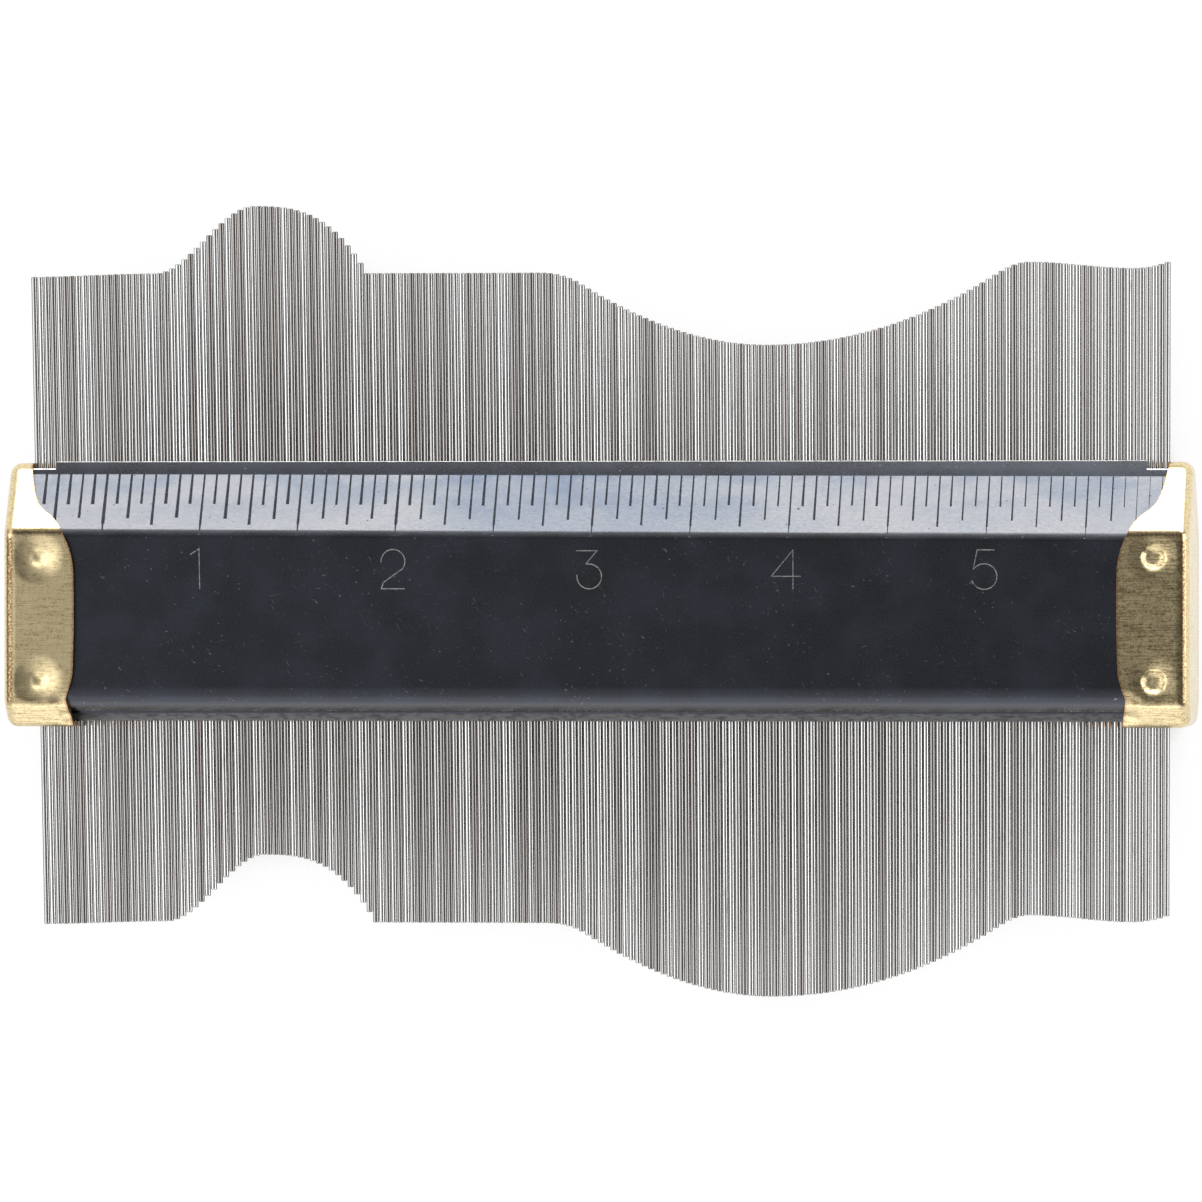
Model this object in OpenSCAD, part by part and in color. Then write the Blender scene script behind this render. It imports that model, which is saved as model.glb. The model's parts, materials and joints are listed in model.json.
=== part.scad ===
// Contour gauge: a row of fine steel needles that slide between two blued steel channels.
// Felt and sponge inside the channels hold the needles, and a crimped brass cap closes each end.
// The gauge lies on its back with the scale side up: needles along Y, body along X.

/* [Needles] */
// Diameter of one needle
needle_d = 0.755; // [0.6:0.005:1.2]
// Length of one needle
needle_length = 83.7; // [76:0.1:110]
// Chamfer around the flat tips of a needle
tip_chamfer = 0.1; // [0.02:0.01:0.2]
// Needles that slide together as one group
group_size = 4; // [2:1:6]
// Gap between neighbouring needles where they come nearest to each other
needle_gap = 0.028; // [0.02:0.002:0.1]
// How far the middle of a needle slides from the middle of the body, each way
needle_travel = 24; // [12:0.5:25]
// Lean of the left-most needles, tops to the left, in degrees
lean_left = 1.15; // [0:0.05:1.5]
// Lean of the right-most needles, tops to the left, in degrees
lean_right = -0.15; // [-0.5:0.05:1]

/* [Contour at rest] */
// Height of the needles' middles at the left end
left_level = -1.25; // [-6:0.05:6]
// Place along X where the hump starts
hump_start = -57.3; // [-62:0.1:-54]
// Height of the needles' middles where the hump starts
foot_level = -0.85; // [-6:0.05:6]
// Place along X of the hump's peak
hump_peak = -44.3; // [-47:0.1:-40]
// Height of the hump's peak
hump_level = 7.8; // [0:0.05:12]
// Place along X of the corner where the hump ends
hump_end = -29.8; // [-33:0.1:-25]
// Steepness of the hump at its right corner
hump_steepness = 1.75; // [0.5:0.05:2.5]
// Height of the flat stretch between the hump and the hollow
middle_level = -0.9; // [-6:0.05:6]
// Place along X where the hollow starts
hollow_start = -7.5; // [-12:0.1:-4]
// Length of the rounded shoulder at the start of the hollow
shoulder_run = 5.2; // [3:0.1:8]
// Drop over the rounded shoulder
shoulder_drop = 1.4; // [0.5:0.1:3]
// Steepness of both sides of the hollow
hollow_steepness = 0.63; // [0.3:0.01:1]
// Place along X of the lowest needle of the hollow
hollow_low = 21.7; // [15:0.1:28]
// Height of the needles' middles at the bottom of the hollow
hollow_level = -10.25; // [-14:0.05:-2]
// Place along X of the bump right of the hollow
bump_peak = 55.3; // [53:0.1:60]
// Height of that bump
bump_level = 0.3; // [-2:0.05:3]
// Length of the rounded rise up to that bump
bump_run = 4.3; // [3:0.1:8]
// Drop of the rounded rise below that bump
bump_drop = 1.65; // [0.5:0.05:3]
// Place along X of the dip near the right end
dip_place = 68.7; // [64:0.1:72]
// Height of that dip
dip_level = -0.55; // [-3:0.05:3]
// Place along X where the contour ends
right_place = 74; // [72.5:0.1:80]
// Height of the needles' middles at the right end
right_level = 0.6; // [-3:0.05:3]

/* [Channels] */
// Height of the body along the needles, from the flange's edge to the lip's edge
body_height = 33.5; // [28:0.5:42]
// Thickness of the channels' sheet steel
sheet = 0.9; // [0.6:0.05:1.1]
// Run of the steep lip along the top edge
lip_run = 1.75; // [1.2:0.05:2.5]
// Slope of the lip, in degrees
lip_slope = 46; // [40:0.5:55]
// Run of the bevel that carries the scale
bevel_run = 7.4; // [5:0.1:9]
// Slope of that bevel, in degrees
bevel_slope = 32.5; // [25:0.5:36]
// Outer bend radius between the bevel and the face, and between the bevel and the lip
bend_radius = 1.2; // [1.15:0.05:2]
// Outer radius of the roll along the bottom edge
roll_radius = 3.2; // [2:0.1:4]
// Width of the flat flange along the bottom edge
flange_width = 1.3; // [0.9:0.05:2]
// Radius in the corner between the flange and the wall above it
flange_fillet = 0.4; // [0.2:0.05:0.6]
// Clearance between the needles and the edges of the channels
edge_clearance = 0.12; // [0.06:0.01:0.3]
// Depth of the notches in the ends of the lip
notch_depth = 0.95; // [0.8:0.05:1.1]
// Reach of the notches from the outside of the end caps
notch_reach = 5.9; // [4:0.1:10]

/* [End caps] */
// Wall of the brass caps
cap_wall = 0.65; // [0.4:0.05:0.8]
// Gap between a cap and the channels inside it
cap_gap = 0.06; // [0.05:0.01:0.15]
// Outer bend radius around the end wall
cap_bend = 1.5; // [1:0.1:2.5]
// Room from the needles to the outside of a cap
end_room = 3.1; // [3:0.05:5]
// Depth of a cap over the face
cap_depth = 9.2; // [8:0.1:14]
// Depth of a cap at the top edge
cap_lip_depth = 3.2; // [2.6:0.1:4]
// Depth of a cap over the bottom roll
cap_roll_depth = 8.2; // [7:0.1:12]
// Start of the slanted cut in a cap's edge, above the bend of the bevel
cap_cut_high = 5; // [3:0.1:6]
// End of the slanted cut in a cap's edge, below the bend of the bevel
cap_cut_low = 2.4; // [1:0.1:4]
// Clearance of the caps' slots around the needles
slot_clearance = 0.25; // [0.15:0.01:0.5]
// Distance of the crimps from the outside of the end wall
crimp_inset = 4.55; // [3.8:0.05:6]
// Distance of the upper crimps below the bend of the bevel
crimp_drop = 3.3; // [2.5:0.1:6]
// Distance of the lower crimps above the body's bottom edge
crimp_rise = 5.2; // [4.8:0.1:8]
// Radius of the ball that presses a crimp
crimp_radius = 2; // [1.2:0.1:2.5]
// Depth of a crimp
crimp_depth = 0.6; // [0.3:0.05:0.8]
// Clearance of the channels' holes around the crimps
crimp_clearance = 0.1; // [0.06:0.01:0.3]

/* [Padding] */
// Thickness of the felt strips beside the needles
felt_thick = 2; // [1:0.1:3]
// Clearance around the felt, the sponge and the end blocks
pad_gap = 0.06; // [0.05:0.01:0.2]

/* [Hidden] */
group_count = 45;
FIXED = [
    "front_channel", "rear_channel", "left_end_cap", "right_end_cap", "left_end_block", "right_end_block",
    "front_felt", "rear_felt", "front_sponge", "rear_sponge"
];
function group_name(g) = str("needles_", g < 9 ? "0" : "", g + 1);

// Needle row: the groups fan a little, so the pitch leaves room for that over the whole travel
needle_r = needle_d / 2;
needle_count = group_count * group_size;
fan_step = (lean_left - lean_right) / group_count;
fan_room = tan(abs(fan_step)) * (needle_length / 2 + needle_travel);
pitch = needle_d + needle_gap + fan_room;
pack_half = needle_count * pitch / 2;
function needle_x(i) = (i - (needle_count - 1) / 2) * pitch;
function group_lean(g) = lean_left - fan_step * (g + 0.5);
function needle_lean(i) = group_lean(floor(i / group_size));

// Contour at rest: knots of place, height, slope before and slope after, joined by cubic curves
knots = [
    [-right_place, left_level, 0, 0],
    [hump_start, foot_level, 0, 0],
    [hump_peak, hump_level, 0, 0],
    [hump_end, middle_level, -hump_steepness, 0],
    [hollow_start, middle_level, 0, 0],
    [hollow_start + shoulder_run, middle_level - shoulder_drop, -hollow_steepness, -hollow_steepness],
    [hollow_low, hollow_level, 0, 0],
    [bump_peak - bump_run, bump_level - bump_drop, hollow_steepness, hollow_steepness],
    [bump_peak, bump_level, 0, 0],
    [dip_place, dip_level, 0, 0],
    [right_place, right_level, 2 * (right_level - dip_level) / (right_place - dip_place), 0]
];
function between(a, b, t) =
    let (run = b[0] - a[0])
    (2 * t ^ 3 - 3 * t ^ 2 + 1) * a[1] + (t ^ 3 - 2 * t ^ 2 + t) * run * a[3]
    + (3 * t ^ 2 - 2 * t ^ 3) * b[1] + (t ^ 3 - t ^ 2) * run * b[2];
function contour(x, k = 0) =
    x > knots[k + 1][0] && k < len(knots) - 2
    ? contour(x, k + 1)
    : between(knots[k], knots[k + 1],
              min(1, max(0, (x - knots[k][0]) / (knots[k + 1][0] - knots[k][0]))));
function needle_rise(i) = contour(needle_x(i));
tip_tops = [
    for (i = [0:needle_count - 1])
        (needle_rise(i) + needle_length / 2) * cos(needle_lean(i))
        + (needle_r - tip_chamfer) * abs(sin(needle_lean(i)))
];
tip_bottoms = [
    for (i = [0:needle_count - 1])
        (needle_rise(i) - needle_length / 2) * cos(needle_lean(i))
        - (needle_r - tip_chamfer) * abs(sin(needle_lean(i)))
];

// Section of the front channel, Y along the needles and Z up from their middle plane
body_half = body_height / 2;
edge_z = needle_r + edge_clearance;
flange_z = edge_z + sheet;
lip_z = edge_z + sheet * cos(lip_slope);
lip_bend_y = body_half - lip_run;
lip_bend_z = lip_z + lip_run * tan(lip_slope);
bend_y = lip_bend_y - bevel_run;
face_z = lip_bend_z + bevel_run * tan(bevel_slope);
wall_y = flange_width - body_half;
bevel_inner_drop = sheet / cos(bevel_slope);
function bevel_z(y) = face_z - (y - bend_y) * tan(bevel_slope);
function inner_bevel_y(z) = bend_y + (face_z - bevel_inner_drop - z) / tan(bevel_slope);
skin = [
    [body_half, lip_z], [lip_bend_y, lip_bend_z], [bend_y, face_z],
    [wall_y, face_z], [wall_y, flange_z], [-body_half, flange_z]
];
skin_radii = [0, bend_radius, bend_radius, roll_radius, flange_fillet, 0];
liner_radii = [0, bend_radius - sheet, bend_radius - sheet, roll_radius - sheet, flange_fillet + sheet, 0];

// End caps: the outline around both channels where a cap sits, as a loop of corners
cap_half = pack_half + end_room;
bend_centre = cap_half - cap_bend;
channel_half = bend_centre;
seat_top = body_half - notch_depth;
seat_side = [
    [seat_top, bevel_z(seat_top)], [bend_y, face_z], [wall_y, face_z], [-body_half, flange_z]
];
function mirrored(p) = [for (i = [len(p) - 1:-1:0]) [p[i][0], -p[i][1]]];
function reversed(p) = [for (i = [len(p) - 1:-1:0]) p[i]];
seat = concat(seat_side, mirrored(seat_side));
seat_side_radii = [bend_radius, bend_radius, roll_radius, cap_wall];
seat_radii = concat(seat_side_radii, reversed(seat_side_radii));
least_radius = 0.2;
slot_half = needle_r + slot_clearance;
slot_end = pack_half + tan(max(abs(lean_left), abs(lean_right))) * body_half + slot_clearance;
cap_outside = cap_gap + cap_wall;
crimp_ys = [bend_y - crimp_drop, crimp_rise - body_half];
crimp_ball_z = face_z + cap_outside + crimp_radius - crimp_depth;
crimp_bump_r = crimp_radius + cap_wall;
crimp_hole_r = sqrt(crimp_bump_r ^ 2 - (crimp_ball_z - face_z - cap_gap) ^ 2) + crimp_clearance;

// Padding inside the channels
pad_half = channel_half - pad_gap;
felt_z = needle_r + pad_gap;
sponge_z = felt_z + felt_thick + pad_gap;
sponge_top = face_z - sheet - pad_gap;
pad_low = wall_y + sheet + pad_gap;
roll_y = wall_y + roll_radius;
roll_z = face_z - roll_radius;
block_inset = cap_bend - cap_wall + pad_gap;

// The gauge rests on the backs of its caps, with its box centred over the origin
body_y = -(max(tip_tops) + min(tip_bottoms)) / 2;
body_z = face_z + cap_outside;

// Arcs turn by at most this angle between two points
arc_step = 12;
thin_slice = 0.01;
margin = 1;

blued = "#34363b";
brass = "#b59a5c";
steel = "#b4b4b2";
felt_green = "#5d6350";
sponge_grey = "#77756d";

function unit(v) = v / norm(v);
function left_of(v) = [-v[1], v[0]];
function turned(v, a) = [v[0] * cos(a) - v[1] * sin(a), v[0] * sin(a) + v[1] * cos(a)];

// Points of the arc of radius r that rounds corner b between a and c
function corner(a, b, c, r) =
    let (
        u = unit(a - b),
        v = unit(c - b),
        half = acos(u * v) / 2,
        centre = b + unit(u + v) * r / sin(half),
        start = b + u * r / tan(half) - centre,
        sweep = sign(cross(b - a, c - b)) * (180 - 2 * half),
        steps = ceil(abs(sweep) / arc_step)
    )
    [for (k = [0:steps]) centre + turned(start, sweep * k / steps)];

// An open line of corners, rounded, and the same line moved to its left
function rounded_line(p, r) =
    concat([p[0]],
           [for (i = [1:len(p) - 2]) each corner(p[i - 1], p[i], p[i + 1], r[i])],
           [p[len(p) - 1]]);
function moved_corner(a, b, c, d) =
    let (m = left_of(unit(b - a)), n = left_of(unit(c - b))) b + d * (m + n) / (1 + m * n);
function moved_line(p, d) =
    let (last = len(p) - 1)
    concat([p[0] + d * left_of(unit(p[1] - p[0]))],
           [for (i = [1:last - 1]) moved_corner(p[i - 1], p[i], p[i + 1], d)],
           [p[last] + d * left_of(unit(p[last] - p[last - 1]))]);

// A closed loop of corners, grown outwards by d and rounded
function grown(p, d) =
    let (n = len(p)) [for (i = [0:n - 1]) moved_corner(p[(i + n - 1) % n], p[i], p[(i + 1) % n], -d)];
function rounded_loop(p, r) =
    let (n = len(p)) [for (i = [0:n - 1]) each corner(p[(i + n - 1) % n], p[i], p[(i + 1) % n], r[i])];
function seat_outline(d) =
    rounded_loop(grown(seat, d), [for (r = seat_radii) max(least_radius, r + d)]);

module on_stand() {
    translate([0, body_y, body_z]) children();
}

module rear() {
    mirror([0, 0, 1]) children();
}

// Extrudes a section of Y and Z along X, from x to x + length
module along_x(x, length) {
    translate([x, 0, 0]) rotate([90, 0, 90]) linear_extrude(length) children();
}

module at_crimps(sides) {
    for (s = sides, y = crimp_ys)
        translate([s * (cap_half - crimp_inset), y, 0]) children();
}

module channel() {
    color(blued)
    difference() {
        along_x(-channel_half, 2 * channel_half)
            polygon(concat(rounded_line(skin, skin_radii),
                           reversed(rounded_line(moved_line(skin, sheet), liner_radii))));
        for (s = [0, 1])
            mirror([s, 0, 0]) lip_notch();
        at_crimps([-1, 1])
            translate([0, 0, roll_z]) cylinder(r = crimp_hole_r, h = roll_radius + margin, $fn = 48);
    }
}

// The cut that takes the right end of the lip down, so that the cap can wrap over it
module lip_notch() {
    notch_x = cap_half - notch_reach;
    translate([notch_x, seat_top, 0]) cube([channel_half - notch_x + margin, notch_depth + margin, face_z]);
}

// A cup form around the seat, d outside it, with its end rounded by a bend of radius r
module cup(d, r) {
    hull() {
        for (a = [0:15:90])
            along_x(-bend_centre - r * sin(a), thin_slice) polygon(seat_outline(d - r * (1 - cos(a))));
        along_x(-bend_centre, cap_depth + margin) polygon(seat_outline(d));
    }
}

// Plan of a cap: its free edge seen from above
module cap_plan() {
    lip_x = cap_lip_depth - cap_half;
    face_x = cap_depth - cap_half;
    roll_x = cap_roll_depth - cap_half;
    far_x = -cap_half - margin;
    far_y = body_half + cap_outside + margin;
    translate([0, 0, -face_z - cap_outside - margin])
        linear_extrude(2 * (face_z + cap_outside + margin))
            polygon([
                [far_x, far_y], [far_x, -far_y], [roll_x, -far_y], [roll_x, wall_y + cap_outside],
                [face_x, roll_y + cap_outside], [face_x, bend_y - cap_cut_low],
                [lip_x, bend_y + cap_cut_high], [lip_x, far_y]
            ]);
}

// The pressed-in inside of one crimp, below the cap's inner face
module crimp_bump() {
    intersection() {
        translate([0, 0, crimp_ball_z]) sphere(r = crimp_bump_r, $fn = 48);
        translate([-crimp_bump_r, -crimp_bump_r, face_z - crimp_bump_r])
            cube([2 * crimp_bump_r, 2 * crimp_bump_r, crimp_bump_r + cap_gap + cap_wall / 2]);
    }
}

module end_cap() {
    color(brass)
    difference() {
        union() {
            difference() {
                intersection() {
                    cup(cap_outside, cap_bend);
                    cap_plan();
                }
                cup(cap_gap, cap_bend - cap_wall);
            }
            at_crimps([-1]) {
                crimp_bump();
                rear() crimp_bump();
            }
        }
        at_crimps([-1])
            for (s = [-1, 1])
                translate([0, 0, s * crimp_ball_z]) sphere(r = crimp_radius, $fn = 48);
        translate([-slot_end, -body_height, -slot_half]) cube([slot_end, 2 * body_height, 2 * slot_half]);
    }
}

module end_block() {
    block_x = cap_wall + pad_gap - cap_half;
    color("dimgray")
        along_x(block_x, -channel_half - pad_gap - block_x) polygon(seat_outline(-block_inset));
}

module felt_strip() {
    felt_high = inner_bevel_y(felt_z + felt_thick + pad_gap);
    color(felt_green)
        translate([-pad_half, pad_low, felt_z]) cube([2 * pad_half, felt_high - pad_low, felt_thick]);
}

module sponge_pad() {
    color(sponge_grey)
        along_x(-pad_half, 2 * pad_half)
            polygon([
                [pad_low, sponge_z], [inner_bevel_y(sponge_z + pad_gap), sponge_z],
                [inner_bevel_y(sponge_top + pad_gap), sponge_top], [roll_y, sponge_top], [pad_low, roll_z]
            ]);
}

// One needle, standing on the Z axis with its middle at the origin
module needle() {
    half = needle_length / 2;
    tip_r = needle_r - tip_chamfer;
    rotate_extrude($fn = 24)
        polygon([
            [0, -half], [tip_r, -half], [needle_r, tip_chamfer - half],
            [needle_r, half - tip_chamfer], [tip_r, half], [0, half]
        ]);
}

module needle_group(g) {
    color(steel)
        for (i = [g * group_size:(g + 1) * group_size - 1])
            translate([needle_x(i), 0, 0])
                rotate([0, 0, group_lean(g)])
                    translate([0, needle_rise(i), 0]) rotate([-90, 0, 0]) needle();
}

on_stand() channel();  // front_channel
on_stand() rear() channel();  // rear_channel
on_stand() end_cap();  // left_end_cap
on_stand() mirror([1, 0, 0]) end_cap();  // right_end_cap
on_stand() end_block();  // left_end_block
on_stand() mirror([1, 0, 0]) end_block();  // right_end_block
on_stand() felt_strip();  // front_felt
on_stand() rear() felt_strip();  // rear_felt
on_stand() sponge_pad();  // front_sponge
on_stand() rear() sponge_pad();  // rear_sponge
for (g = [0:group_count - 1])
    on_stand() needle_group(g);
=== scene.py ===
"""Looks of a contour gauge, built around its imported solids.

The gauge lies on its back: X runs along the body, Y along the needles, Z out of the scale face.
Shapes are worked out in millimetres around the middle of the needle row, and placed in metres.
"""

import json
import logging
import math
import random
from dataclasses import dataclass
from enum import Enum, IntEnum
from typing import Sequence, Union

import bmesh
import bpy
from mathutils import Matrix, Vector


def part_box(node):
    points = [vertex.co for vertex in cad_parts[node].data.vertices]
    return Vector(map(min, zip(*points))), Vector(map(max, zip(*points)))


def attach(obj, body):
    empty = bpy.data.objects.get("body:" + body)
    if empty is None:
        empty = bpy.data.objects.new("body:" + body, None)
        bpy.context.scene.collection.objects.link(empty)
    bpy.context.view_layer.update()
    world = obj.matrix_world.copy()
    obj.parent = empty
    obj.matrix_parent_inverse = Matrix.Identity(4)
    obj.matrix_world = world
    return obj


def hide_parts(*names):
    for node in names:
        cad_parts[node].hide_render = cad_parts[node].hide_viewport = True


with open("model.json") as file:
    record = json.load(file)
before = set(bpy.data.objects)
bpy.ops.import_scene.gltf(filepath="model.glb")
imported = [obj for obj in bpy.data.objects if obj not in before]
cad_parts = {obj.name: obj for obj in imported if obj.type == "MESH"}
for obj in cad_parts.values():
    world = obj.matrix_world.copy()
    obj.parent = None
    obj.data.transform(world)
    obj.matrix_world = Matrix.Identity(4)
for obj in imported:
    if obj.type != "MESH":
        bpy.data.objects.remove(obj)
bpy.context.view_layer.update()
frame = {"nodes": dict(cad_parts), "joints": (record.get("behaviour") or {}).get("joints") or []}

MM = 0.001
PHOTO_PIXELS = 1202
FRAME_BODY = "frame"
NEEDLE_RADIUS = 0.3775
SIXTEENTHS = 16
SHARP_TURN = math.radians(60.0)
UPSIDE_DOWN = Matrix.Diagonal((1.0, 1.0, -1.0, 1.0))
LOG = logging.getLogger("contour_gauge")

Triple = tuple[float, float, float]
Colour = Triple
Point = tuple[float, float]
Number = Union[float, "Value"]


class Side(Enum):
    """Which end or which half of the gauge a piece belongs to."""

    LEFT = -1
    RIGHT = 1
    REAR = -2
    FRONT = 2

    @property
    def sign(self) -> int:
        """-1 for the left and rear pieces, 1 for the right and front ones."""
        return 1 if self.value > 0 else -1

    @property
    def word(self) -> str:
        """The side as it stands in the names of pieces and nodes."""
        return self.name.lower()


class Tick(Enum):
    """Kinds of graduation, with the run of each down the bevel in millimetres."""

    HALF_INCH = 7.40
    QUARTER = 6.45
    EIGHTH = 5.65
    SIXTEENTH = 3.85

    @staticmethod
    def of(sixteenths: int) -> "Tick":
        """Finds the kind of one graduation.

        Args:
            sixteenths: its number of sixteenths of an inch.

        Returns:
            The kind.
        """
        for step, kind in ((8, Tick.HALF_INCH), (4, Tick.QUARTER), (2, Tick.EIGHTH)):
            if sixteenths % step == 0:
                return kind
        return Tick.SIXTEENTH


class Coat(IntEnum):
    """The finishes of a channel's sheet, by material index."""

    BLUED = 0
    BEVEL = 1
    BARE = 2
    SCUFFED = 3


class Value:
    """An output in a material's node tree, with the arithmetic that the finishes use."""

    def __init__(self, shader: "Shader", socket: bpy.types.NodeSocket) -> None:
        """Wraps one socket of the given shader."""
        self.shader = shader
        self.socket = socket

    def _math(self, operation: str, first: Number, second: Number) -> "Value":
        """Adds one Math node."""
        return self.shader.add("ShaderNodeMath", {"operation": operation}, {0: first, 1: second})

    def __add__(self, other: Number) -> "Value":
        """self + other."""
        return self._math("ADD", self, other)

    def __radd__(self, other: Number) -> "Value":
        """other + self."""
        return self._math("ADD", other, self)

    def __sub__(self, other: Number) -> "Value":
        """self - other."""
        return self._math("SUBTRACT", self, other)

    def __rsub__(self, other: Number) -> "Value":
        """other - self."""
        return self._math("SUBTRACT", other, self)

    def __mul__(self, other: Number) -> "Value":
        """self * other."""
        return self._math("MULTIPLY", self, other)

    def __rmul__(self, other: Number) -> "Value":
        """other * self."""
        return self._math("MULTIPLY", other, self)


@dataclass(frozen=True)
class Pattern:
    """Noise on Object coordinates, and the levels between which its marks grow.

    Its features' size is in millimetres. Stretch makes them longer along X, Y and Z, turn turns them
    about Z in degrees, detail is the number of finer layers, and shift moves one pattern off another.
    """

    size: float
    levels: Point = (0.0, 1.0)
    stretch: Triple = (1.0, 1.0, 1.0)
    turn: float = 0.0
    detail: float = 3.0
    shift: float = 0.0


class Shader:
    """A node tree that is fed by procedural values."""

    def __init__(self, tree: bpy.types.NodeTree, place: str) -> None:
        """Starts on a node tree, with the coordinates that its patterns follow."""
        self.tree = tree
        self.place = self.add("ShaderNodeTexCoord", output=place)

    def add(
        self,
        kind: str,
        settings: dict[str, object] | None = None,
        inputs: dict[int | str, object] | None = None,
        output: int | str = 0,
    ) -> Value:
        """Adds any node.

        Args:
            kind: the node's type name.
            settings: attributes to set first, such as a Math node's operation.
            inputs: values or links of its sockets, by index or name.
            output: the output that is wanted.

        Returns:
            That output, ready for arithmetic.
        """
        node = self.tree.nodes.new(kind)
        for key, setting in (settings or {}).items():
            setattr(node, key, setting)
        for key, value in (inputs or {}).items():
            self.feed(node.inputs[key], value)
        return Value(self, node.outputs[output])

    def feed(self, socket: bpy.types.NodeSocket, value: object) -> None:
        """Links a socket or sets it.

        Args:
            socket: the input to feed.
            value: a Value to link, or a plain number, vector or colour.
        """
        if isinstance(value, Value):
            self.tree.links.new(value.socket, socket)
        elif isinstance(value, tuple) and len(value) == 3 and socket.type == "RGBA":
            socket.default_value = (*value, 1.0)
        else:
            socket.default_value = value

    def noise(self, pattern: Pattern) -> Value:
        """Adds a pattern's bare noise.

        Args:
            pattern: what the noise looks like.

        Returns:
            A value around 0.5.
        """
        turn = (0.0, 0.0, math.radians(pattern.turn))
        scale = tuple(1.0 / (pattern.size * MM * longer) for longer in pattern.stretch)
        moved = {"Location": (pattern.shift,) * 3, "Scale": scale}
        settings = {"vector_type": "POINT"}
        turned = self.add("ShaderNodeMapping", settings, {"Vector": self.place, "Rotation": turn})
        placed = self.add("ShaderNodeMapping", settings, {"Vector": turned, **moved})
        inputs = {"Vector": placed, "Scale": 1.0, "Detail": pattern.detail}
        return self.add("ShaderNodeTexNoise", {}, inputs)

    def marks(self, pattern: Pattern) -> Value:
        """A pattern's marks, from 0 to 1."""
        return self.mask(self.noise(pattern), *pattern.levels)

    def mask(self, value: Value, low: float, high: float) -> Value:
        """0 where the value is below low, 1 where it is above high, smooth between them."""
        settings = {"interpolation_type": "SMOOTHSTEP", "clamp": True}
        return self.add("ShaderNodeMapRange", settings, {"Value": value, "From Min": low, "From Max": high})

    def rise(self, distance: Value, edges: Point) -> Value:
        """A mask on a distance in metres, with its edges in millimetres."""
        return self.mask(distance, edges[0] * MM, edges[1] * MM)

    def band(self, distance: Value, start: Point, end: Point) -> Value:
        """1 from where a band starts to where it ends, by a distance in metres and edges in millimetres."""
        return self.rise(distance, start) * (1.0 - self.rise(distance, end))

    def mix(self, first: object, second: object, factor: Number) -> Value:
        """Mixes two colours."""
        settings = {"data_type": "RGBA", "clamp_factor": True}
        return self.add("ShaderNodeMix", settings, {0: factor, 6: first, 7: second}, output=2)

    def attribute(self, name: str) -> Value:
        """A number stored on the mesh."""
        return self.add("ShaderNodeAttribute", {"attribute_name": name}, output="Fac")

    def axis(self, name: str) -> Value:
        """The X, Y or Z coordinate on the piece, in metres."""
        return self.add("ShaderNodeSeparateXYZ", {}, {0: self.place}, output=name)

    def above(self, line: Point, half: float) -> Value:
        """Metres along Y above a line, which is given by its Y at both ends and half its length."""
        middle, lean = (line[0] + line[1]) / 2, (line[1] - line[0]) / (2 * half)
        return self.axis("Y") - self.axis("X") * lean - middle

    def bump(self, height: Value, strength: float, distance: float) -> Value:
        """A bumped normal; distance is in millimetres."""
        inputs = {"Height": height, "Strength": strength, "Distance": distance * MM}
        return self.add("ShaderNodeBump", {}, inputs, output="Normal")


class Surface(Shader):
    """A material whose Principled node is fed by procedural values on Object coordinates."""

    def __init__(self, name: str) -> None:
        """Starts a material with a bare Principled node.

        Args:
            name: the material's name.
        """
        self.material = bpy.data.materials.new(name)
        self.material.use_nodes = True
        super().__init__(self.material.node_tree, "Object")
        self.principled = self.tree.nodes["Principled BSDF"]

    def finish(self, **inputs: object) -> bpy.types.Material:
        """Feeds the Principled node.

        Args:
            inputs: its sockets, in small letters with underscores.

        Returns:
            The material.
        """
        for name, value in inputs.items():
            self.feed(self.principled.inputs[name.replace("_", " ").title().replace("Ior", "IOR")], value)
        return self.material


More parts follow.
